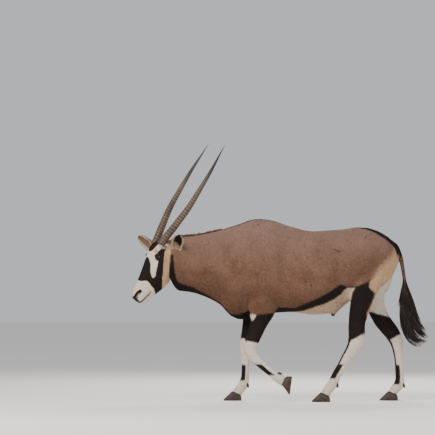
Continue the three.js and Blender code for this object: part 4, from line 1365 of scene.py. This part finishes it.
def tuft_blades(root, up, way, length, width, thick, lift):
    """A thin pointed blade on each root, which is sunk into the skin a little."""
    count = len(root)
    way = unit(way + np.cross(up, way) * random.normal(0, TUFT_SWERVE, count)[:, None])
    beside = np.cross(up, way)
    size = (0.7 + 0.6 * random.random(count))[:, None]
    reach, half = length * size, width / 2 * size
    rise = lift * (0.6 + 0.8 * random.random(count))[:, None]
    root = root - up * (0.5 * thick)
    middle = root + way * reach * 0.4 + up * (thick + rise * 0.75)
    tip = root + way * reach + up * rise * 0.85
    return root, np.stack([root - beside * half, root + beside * half, middle, tip], 1)


def tuft_patches(region, run, turn):
    """A small patch for each tuft, at its root's place on an unwrap of the skin's own regions."""
    chart = np.stack([region % CHARTS_ACROSS, region // CHARTS_ACROSS], -1) * CHART_STEP + CHART_EDGE
    ends = np.array([[places[0], places[-1]] for _, _, places, _ in REGIONS])[region]
    along = (run - ends[:, 0]) / (ends[:, 1] - ends[:, 0])
    around = np.mod(turn, 2 * math.pi) / (2 * math.pi)
    at = chart + np.clip(np.stack([along, around], -1), 0, 1) * CHART_SIZE
    return at[:, None] + np.array([[0, 0], [1, 0], [0.5, 0.5], [0.5, 1]]) * TUFT_PATCH


def blade_mesh(name, blades):
    """A mesh of blades with four corners each."""
    mesh = bpy.data.meshes.new(name)
    mesh.vertices.add(len(blades) * 4)
    mesh.vertices.foreach_set("co", to_row(blades.reshape(-1, 3)).ravel())
    faces = (np.arange(len(blades))[:, None, None] * 4 + TUFT_FACES).reshape(-1, 3)
    mesh.loops.add(len(faces) * 3)
    mesh.loops.foreach_set("vertex_index", faces.ravel())
    mesh.polygons.add(len(faces))
    mesh.polygons.foreach_set("loop_start", np.arange(len(faces)) * 3)
    mesh.update(calc_edges=True)
    return mesh


def tuft_pieces():
    triangles = skin_triangles()
    points = read_points(SKIN_MESH) - ORIGIN / MM
    normals = read_normals(SKIN_MESH)
    region, along, angle = nearest_region(points)
    parts = tuft_parts(region[triangles[:, 0]], points[triangles].mean(1))
    for name, (count, *shape) in TUFTS.items():
        chosen, share = scattered(triangles, points, count, parts[name].astype(float))
        corners = triangles[chosen]
        root, up = ((values[corners] * share[..., None]).sum(1) for values in (points, normals))
        run = (along[corners] * share).sum(1)
        across_seam = np.ptp(angle[corners], axis=1) > math.pi
        turn = np.where(across_seam, angle[corners[:, 0]], (angle[corners] * share).sum(1))
        own = region[corners[:, 0]]
        up = unit(up)
        root, blades = tuft_blades(root, up, hair_ways(root, up, own, run, turn), *shape)
        aside = turn * round_reach(own, run) + random.normal(0, TUFT_DRIFT, count)
        mesh = blade_mesh(f"coat_{name}", blades)
        layers = {
            "coat_fields": coat_fields(root, own, run, turn),
            "coat_lie": np.stack([run, aside, np.zeros(count)], -1),
        }
        add_vectors(mesh, **{layer: np.repeat(values, 4, axis=0) for layer, values in layers.items()})
        patches = tuft_patches(own, run, turn)[:, TUFT_FACES]
        mesh.uv_layers.new(name="OFBake").data.foreach_set("uv", patches.ravel())
        mesh.materials.append(COAT)
        settled(add_object(f"coat_{name}", mesh))


tuft_pieces()

STRAND_SIDES = 3
STRAND_LEAN = np.array([0.21, 0.95, 0.22])  # a way that no strand follows, to set their sides out from


def strands(lines, widths):
    """Tapered strands: each is a line of places with a half width at each of them."""
    count, rows = lines.shape[:2]
    way = unit(np.gradient(lines, axis=1), TINY)
    aside = unit(np.cross(way, STRAND_LEAN), TINY)
    other = np.cross(way, aside)
    turn = round_places(STRAND_SIDES)[:, None]
    ring = aside[:, :, None] * np.cos(turn) + other[:, :, None] * np.sin(turn)
    points = (lines[:, :, None] + widths[:, :, None, None] * ring).reshape(-1, 3)
    size = rows * STRAND_SIDES
    first = np.arange(count)[:, None, None] * size
    walls = (first + np.array(wall_faces(rows, STRAND_SIDES))).reshape(-1, 4)
    ends = [range(STRAND_SIDES - 1, -1, -1), range(size - STRAND_SIDES, size)]
    caps = (first + np.array(ends)).reshape(-1, STRAND_SIDES)
    return points, [*map(tuple, walls), *map(tuple, caps)]


# Tail hair: x, height, side, half depth and half width of the whole bunch.
TASSEL = [
    [868, 865, 0, 13, 13],
    [874, 800, 0, 20, 17],
    [877, 745, 0, 38, 28],
    [887, 660, 0, 58, 40],
    [895, 583, 0, 66, 46],
    [918, 500, 0, 76, 46],
    [960, 440, 0, 72, 40],
    [1024, 402, 0, 40, 30],
]


LOCKS, LOCK_HAIRS, LOCK_ROWS = 74, 34, 11
LOCK_WAVE, HAIR_WAVE = 7, 1.6
LOCK_WIDTH, LOCK_TIP, LOCK_TAPER = 1.5, 0.18, 2.2


def tail_hair():
    """The tail's bunch, in wavy locks that start one below another and fan out."""
    table = limb_table(TASSEL, RIGHT)
    reach = table[-1, 0]
    count = LOCKS * LOCK_HAIRS

    def for_hairs(values):
        return np.repeat(values, LOCK_HAIRS, axis=0)

    start = for_hairs(random.random(LOCKS) ** 1.2 * reach * 0.5)
    length = for_hairs(reach * (0.36 + 0.34 * random.random(LOCKS)))
    start = np.maximum(0, start + random.normal(0, 9, count))
    end = start + length * random.uniform(0.8, 1.05, count)
    end = np.minimum(end, reach * random.uniform(0.93, 1, count))
    share = np.linspace(0, 1, LOCK_ROWS)
    t = start[:, None] + (end - start)[:, None] * share
    turn = for_hairs(random.random(LOCKS) * 2 * math.pi) + random.normal(0, 0.16, count)
    out = for_hairs(0.35 + 0.65 * np.sqrt(random.random(LOCKS))) * random.uniform(0.86, 1.04, count)
    lines = np.empty((count, LOCK_ROWS, 3))
    for k in range(count):
        ring = limb_points(table, t[k], turn[k : k + 1])[:, 0]
        centre = table_values(table, t[k])[:, :3]
        away = out[k] * (0.55 + 0.5 * share)
        lines[k] = centre + (ring - centre) * away[:, None]
    wave = for_hairs(random.normal(0, 1, (LOCKS, 1, 3))) * LOCK_WAVE
    bend = for_hairs(random.uniform(3, 7, (LOCKS, 1)))
    wave = (wave + random.normal(0, HAIR_WAVE, (count, 1, 3))) * np.sin(share * bend)[..., None]
    lines = lines + wave * share[None, :, None]
    widths = np.broadcast_to(LOCK_WIDTH * (1 - share**LOCK_TAPER) + LOCK_TIP, (count, LOCK_ROWS))
    points, faces = strands(lines, widths * random.uniform(0.6, 1.3, (count, 1)))
    dressed("tail_hair", points, faces, HAIR_BLACK, ["tail_tassel"])


TUFTED_ROWS, TUFTED_TIP = 5, 0.12


def tufted(name, hairs, length, width, material, spread=0.12, curl=0.2):
    """Short free hair. Each has a root, a way, and another way that it bends towards."""
    roots, ways, ups = np.asarray(hairs, float).transpose(1, 0, 2)
    count = len(roots)
    share = np.linspace(0, 1, TUFTED_ROWS)
    size = random.uniform(0.7, 1.25, (count, 1))
    way = unit(ways + random.normal(0, spread, ways.shape))
    run = np.asarray(length).reshape(-1, 1) * size * share
    lines = roots[:, None] + way[:, None] * run[..., None] + ups[:, None] * (curl * run * share)[..., None]
    widths = np.broadcast_to(width * (1 - share**2) + TUFTED_TIP, (count, TUFTED_ROWS)) * size
    points, faces = strands(lines, widths)
    dressed(name, points, faces, material)


MANE_CLUMPS, MANE_HAIRS, MANE_LENGTH = 92, 30, 24
MANE_START, MANE_END = -702, -378


def mane():
    """A low brown mane in clumps along the top of the neck."""
    count = MANE_CLUMPS * MANE_HAIRS
    x = np.repeat(np.linspace(MANE_START, MANE_END, MANE_CLUMPS), MANE_HAIRS) + random.normal(0, 2.5, count)
    x = np.clip(x, MANE_START - 4, MANE_END + 6)
    tall = np.repeat(random.uniform(0.45, 1.35, MANE_CLUMPS), MANE_HAIRS)
    angle = random.normal(0, 0.055, count)
    roots = np.stack([trunk_points(x[k : k + 1], angle[k : k + 1])[0, 0] for k in range(count)])
    roots[:, 2] -= 4
    ways, ups = (np.tile(way, (count, 1)) for way in ([0.75, 0.0, 0.66], [0.4, 0.0, -0.5]))
    fade = smooth_step(-704, -670, x) * (1 - 0.5 * smooth_step(-470, -380, x))
    length = MANE_LENGTH * tall * (0.5 + 0.5 * fade)
    hairs = np.stack([roots, ways, ups], 1)
    tufted("mane", hairs, length, 1.2, HAIR_BROWN, spread=0.2, curl=0.3)


EAR_HAIRS, BROW_HAIRS, LASHES = 420, 260, 44
EAR_RIM = 0.12  # how far inside the rim its hair grows, as an angle
HORN_BASE = [-36, 40]  # along the head and beside its middle


def ear_hair():
    """Pale hair along the rims and inside the cups of the ears."""
    hairs = []
    for side in (LEFT, RIGHT):
        _, tip, opening, across = ear_axes(side)
        for _ in range(EAR_HAIRS):
            share = random.uniform(0.2, 0.93)
            edge = random.choice([-1, 1])
            angle = (math.pi + EAR_RIM if edge < 0 else 2 * math.pi - EAR_RIM) + random.normal(0, 0.08)
            root = ear_points(side, np.array([share]), np.array([angle]))[0, 0]
            hairs.append((root, tip * 0.75 - across * edge * 0.45 + opening * 0.35, tip * 0.2))
    tufted("ear_hair", hairs, 17, 0.8, HAIR_PALE)


def brow_hair():
    """Small tufts of pale hair in front of the horns' roots."""
    hairs = []
    for side in (LEFT, RIGHT):
        way = -FACE * 0.6 + DORSAL * 0.6 + HEAD_LEFT * -side * 0.3
        turns, reaches = random.uniform(-0.4, 1.5, BROW_HAIRS), random.uniform(23, 36, BROW_HAIRS)
        for turn, reach in zip(turns, reaches):
            along = HORN_BASE[0] + reach * math.cos(turn)
            beside = HORN_BASE[1] + reach * math.sin(turn)
            top, bottom, half, widest = table_values(HEAD, np.array([along]))[0][:4]
            height = (top - bottom) * (1 - widest)
            out = min(0.98, beside / half)
            above = bottom + (top - bottom) * widest + height * math.sqrt(1 - out * out) - 4
            hairs.append((paired([along, above, beside], side), way, -FACE * 0.2))
    tufted("brow_hair", hairs, 8, 0.7, HAIR_PALE, spread=0.45)


def lashes():
    """Dark lashes along the edge of each upper lid."""
    hairs = []
    reach = EYE_RADIUS + LID_RISE - 1
    for side in (LEFT, RIGHT):
        for share in np.linspace(-0.85, 0.75, LASHES):
            v = LID_HIGH * (1 - share**2) * 1.12
            along = (share * LID_HALF - LID_SLANT * v) / (1 + LID_SLANT**2)
            above = v + LID_SLANT * along
            out = math.sqrt(max(4.0, reach**2 - along**2 - above**2))
            place = np.array([EYE_CENTRE[0] + along, EYE_CENTRE[1] + above, EYE_CENTRE[2] + out])
            root = paired(place, side)
            hairs.append((root, paired(place + [0.25, 0.2, 1], side) - root, FACE * 0.5 - DORSAL * 0.4))
    tufted("lashes", hairs, 11, 0.42, HAIR_BLACK, spread=0.05)


EYE_BULGE = 1.2


def eyes():
    for side, name in ((LEFT, "eye_left"), (RIGHT, "eye_right")):
        sizes = [EYE_RADIUS + EYE_BULGE, EYE_RADIUS, EYE_RADIUS]
        points, faces = ball(paired(EYE_CENTRE, side), [HEAD_LEFT * -side, FACE, DORSAL], sizes, 48, 32)
        dressed(f"{name}_ball", points, faces, EYE, [name])


# Horns: share of the length, distance from the middle, radius.
HORN = [
    [-0.05, 34, 27],
    [0, 38, 26.5],
    [0.15, 70, 24.5],
    [0.4, 110, 19.5],
    [0.7, 115, 12],
    [0.92, 102, 4.5],
    [1, 97, 1.2],
]
HORN_LENGTH, HORN_SWEEP, HORN_ROOT = 798, 8.7, [-48, -34]
HORN_START, HORN_SIDES = -0.026, 40
HORN_RINGS, HORN_RING_SHARE, HORN_RING_HEIGHT = 23, 0.58, 3.1


def horns():
    """Long straight horns, ringed from the root up, and smooth at the tips."""
    sweep = math.radians(HORN_SWEEP)
    back = -FACE * math.cos(sweep) - DORSAL * math.sin(sweep)
    across = np.cross(FACE, back)
    across /= np.linalg.norm(across)
    deep = np.cross(across, back)
    share = np.concatenate([np.linspace(HORN_START, 0.6, 300), np.linspace(0.61, 1, 60)])
    turn = round_places(HORN_SIDES)
    round_way = across * np.cos(turn)[:, None] + deep * np.sin(turn)[:, None]
    front = 0.72 + 0.28 * np.cos(turn - math.pi / 2)
    beside, radius = table_values(HORN, share).T
    fade = 1 - smooth_step(HORN_RING_SHARE - 0.14, HORN_RING_SHARE + 0.02, share)
    fade *= 0.5 + 0.5 * smooth_step(-0.02, 0.06, share)
    for side, name in ((LEFT, "horn_left"), (RIGHT, "horn_right")):
        uneven = 0.12 * np.sin(share * 31 + side) + 0.08 * np.sin(share * 67)
        saw = np.mod(share / HORN_RING_SHARE * HORN_RINGS + uneven, 1)
        crest = smooth_step(0, 0.55, saw) * (1 - smooth_step(0.72, 1, saw))
        reach = radius[:, None] + ((crest - 0.55) * HORN_RING_HEIGHT * fade)[:, None] * front
        centre = on_head([*HORN_ROOT, 0]) + share[:, None] * HORN_LENGTH * back
        centre = centre + beside[:, None] * HEAD_LEFT * -side
        points, faces = tube(centre[:, None] + reach[..., None] * round_way)
        piece = dressed(f"{name}_sheath", points, faces, HORN_BROWN, [name])
        crest = crest * fade + (1 - fade) * 0.8
        for layer_name, values in (("horn_share", share), ("horn_crest", crest)):
            layer = piece.data.attributes.new(layer_name, "FLOAT", "POINT")
            values = np.concatenate([np.repeat(values, HORN_SIDES), values[[0, -1]]])
            layer.data.foreach_set("value", values)


# Claws of the hooves: along the sole, height, half width.
CLAW = [
    [-2, 24, 8],
    [0, 30, 11],
    [8, 42, 17],
    [34, 56, 21],
    [58, 62, 21],
    [78, 46, 19],
    [98, 27, 14],
    [112, 14, 8],
    [119, 6, 3],
]
CLAW_CLEFT, CLAW_SPLAY, CLAW_CROWN, CLAW_WIDEST = 2.5, 4, 0.64, 21
CLAW_RINGS, CLAW_SIDES = 56, 40
CLAW_GROOVE, CLAW_GROOVE_STEP = 0.018, 2.9


def turn_about(axis, degrees):
    return np.stack([turned(row, np.array(axis, float), degrees) for row in np.eye(3)], 1)


def hooves():
    """Two claws on each foot, grooved along and splayed a little."""
    along = np.linspace(CLAW[0][0], CLAW[-1][0], CLAW_RINGS)
    angles = round_places(CLAW_SIDES)
    height, half = table_values(CLAW, along).T
    up = np.maximum(0, 1 - CLAW_CROWN + CLAW_CROWN * np.cos(angles))
    groove = 1 + CLAW_GROOVE * np.sin(along / CLAW_GROOVE_STEP)[:, None] * (up > 0.1)
    back = np.broadcast_to(-along[:, None], (CLAW_RINGS, CLAW_SIDES))
    claw = np.stack([back, half[:, None] * np.sin(angles) * groove, height[:, None] * up * groove], -1)
    for leg, facts in LEGS.items():
        side = facts["side"]
        heel = facts["heel"]
        for which, part in ((side, "outer"), (-side, "inner")):
            grid = claw @ turn_about([0, 0, 1], -which * CLAW_SPLAY).T
            grid = grid + [0, which * (CLAW_WIDEST + CLAW_CLEFT), 0]
            grid = grid @ turn_about([0, 1, 0], -facts["lean"]).T
            points, faces = tube(grid + [heel[0], side * heel[1], heel[2]])
            dressed(f"{leg}_hoof_{part}", points, faces, HOOF, [f"{leg}_claw_{part}"])


DEWCLAW_SIZES, DEWCLAW_APART, DEWCLAW_OUT = [17, 9, 11], 15, 0.9


def dewclaws():
    """Two small claws behind each fetlock."""
    parts = []
    for table in LIMB_TABLES.values():
        fetlock = table[-3]
        way = table[-2, 1:4] - table[-4, 1:4]
        way = way / np.linalg.norm(way)
        back = limb_points(table, fetlock[:1], np.array([math.pi]))[0, 0] - fetlock[1:4]
        centre = fetlock[1:4] + back * DEWCLAW_OUT
        back = back / np.linalg.norm(back)
        axes = [way * 0.9 + back * 0.45, [0, 1, 0], np.cross(way, [0, 1, 0])]
        for which in (-1, 1):
            place = centre + np.array([0, which * DEWCLAW_APART, 0])
            parts.append(ball(place, axes, DEWCLAW_SIZES, 24, 16))
    points, faces = joined(parts)
    dressed("dewclaws", points, faces, HOOF)


tail_hair()
mane()
ear_hair()
brow_hair()
lashes()
eyes()
horns()
hooves()
dewclaws()

CAMERA_LENS, CAMERA_TILT, CAMERA_PLACE = 245.2, 91.015, [-388, -20000, 884]
SKY_COLOUR, SKY_STRENGTH = (0.95, 0.96, 1, 1), 0.62
# Each soft light: its place, size, power and tint.
LIGHTS = {
    "key": ([-2600, -4200, 4300], 2.6, 330, (1, 0.96, 0.9)),
    "fill": ([3600, -4000, 1800], 3.2, 90, (0.92, 0.96, 1)),
    "rim": ([900, 3600, 3400], 2.4, 170, (1, 0.98, 0.94)),
}
LIT_PLACE = [0, 0, 800]
FLOOR_HALF = 30  # metres


def studio():
    """A camera in front of the animal's left side, in soft light over a plain pale floor."""
    lens = bpy.data.cameras.new("camera")
    lens.lens = CAMERA_LENS
    lens.clip_end = 100
    camera = add_object("camera", lens)
    camera.location = to_row(CAMERA_PLACE)
    camera.rotation_euler = (math.radians(CAMERA_TILT), 0, 0)
    bpy.context.scene.camera = camera
    world = bpy.data.worlds.new("studio")
    world.use_nodes = True
    set_inputs(world.node_tree.nodes["Background"], Color=SKY_COLOUR, Strength=SKY_STRENGTH)
    bpy.context.scene.world = world
    for name, (place, size, power, tint) in LIGHTS.items():
        light = bpy.data.lights.new(name, "AREA")
        light.size, light.energy, light.color = size, power, tint
        lamp = add_object(name, light)
        lamp.location = to_row(place)
        aim = Vector(to_row(LIT_PLACE)) - lamp.location
        lamp.rotation_euler = aim.to_track_quat("-Z", "Y").to_euler()
    corners = [(-1, -1), (1, -1), (1, 1), (-1, 1)]
    floor_mesh = mesh_from("floor", [(x * FLOOR_HALF, y * FLOOR_HALF, 0) for x, y in corners], [(0, 1, 2, 3)])
    floor = add_object("floor", floor_mesh)
    material, tree, shader = new_material("floor_matt")
    tone = noise(tree, object_place(tree), 1.5, 2.0)
    tree.links.new(mixed(tree, tone, srgb(238, 236, 232), srgb(243, 241, 237)), shader.inputs["Base Color"])
    set_inputs(shader, Roughness=0.9)
    floor_mesh.materials.append(material)


studio()
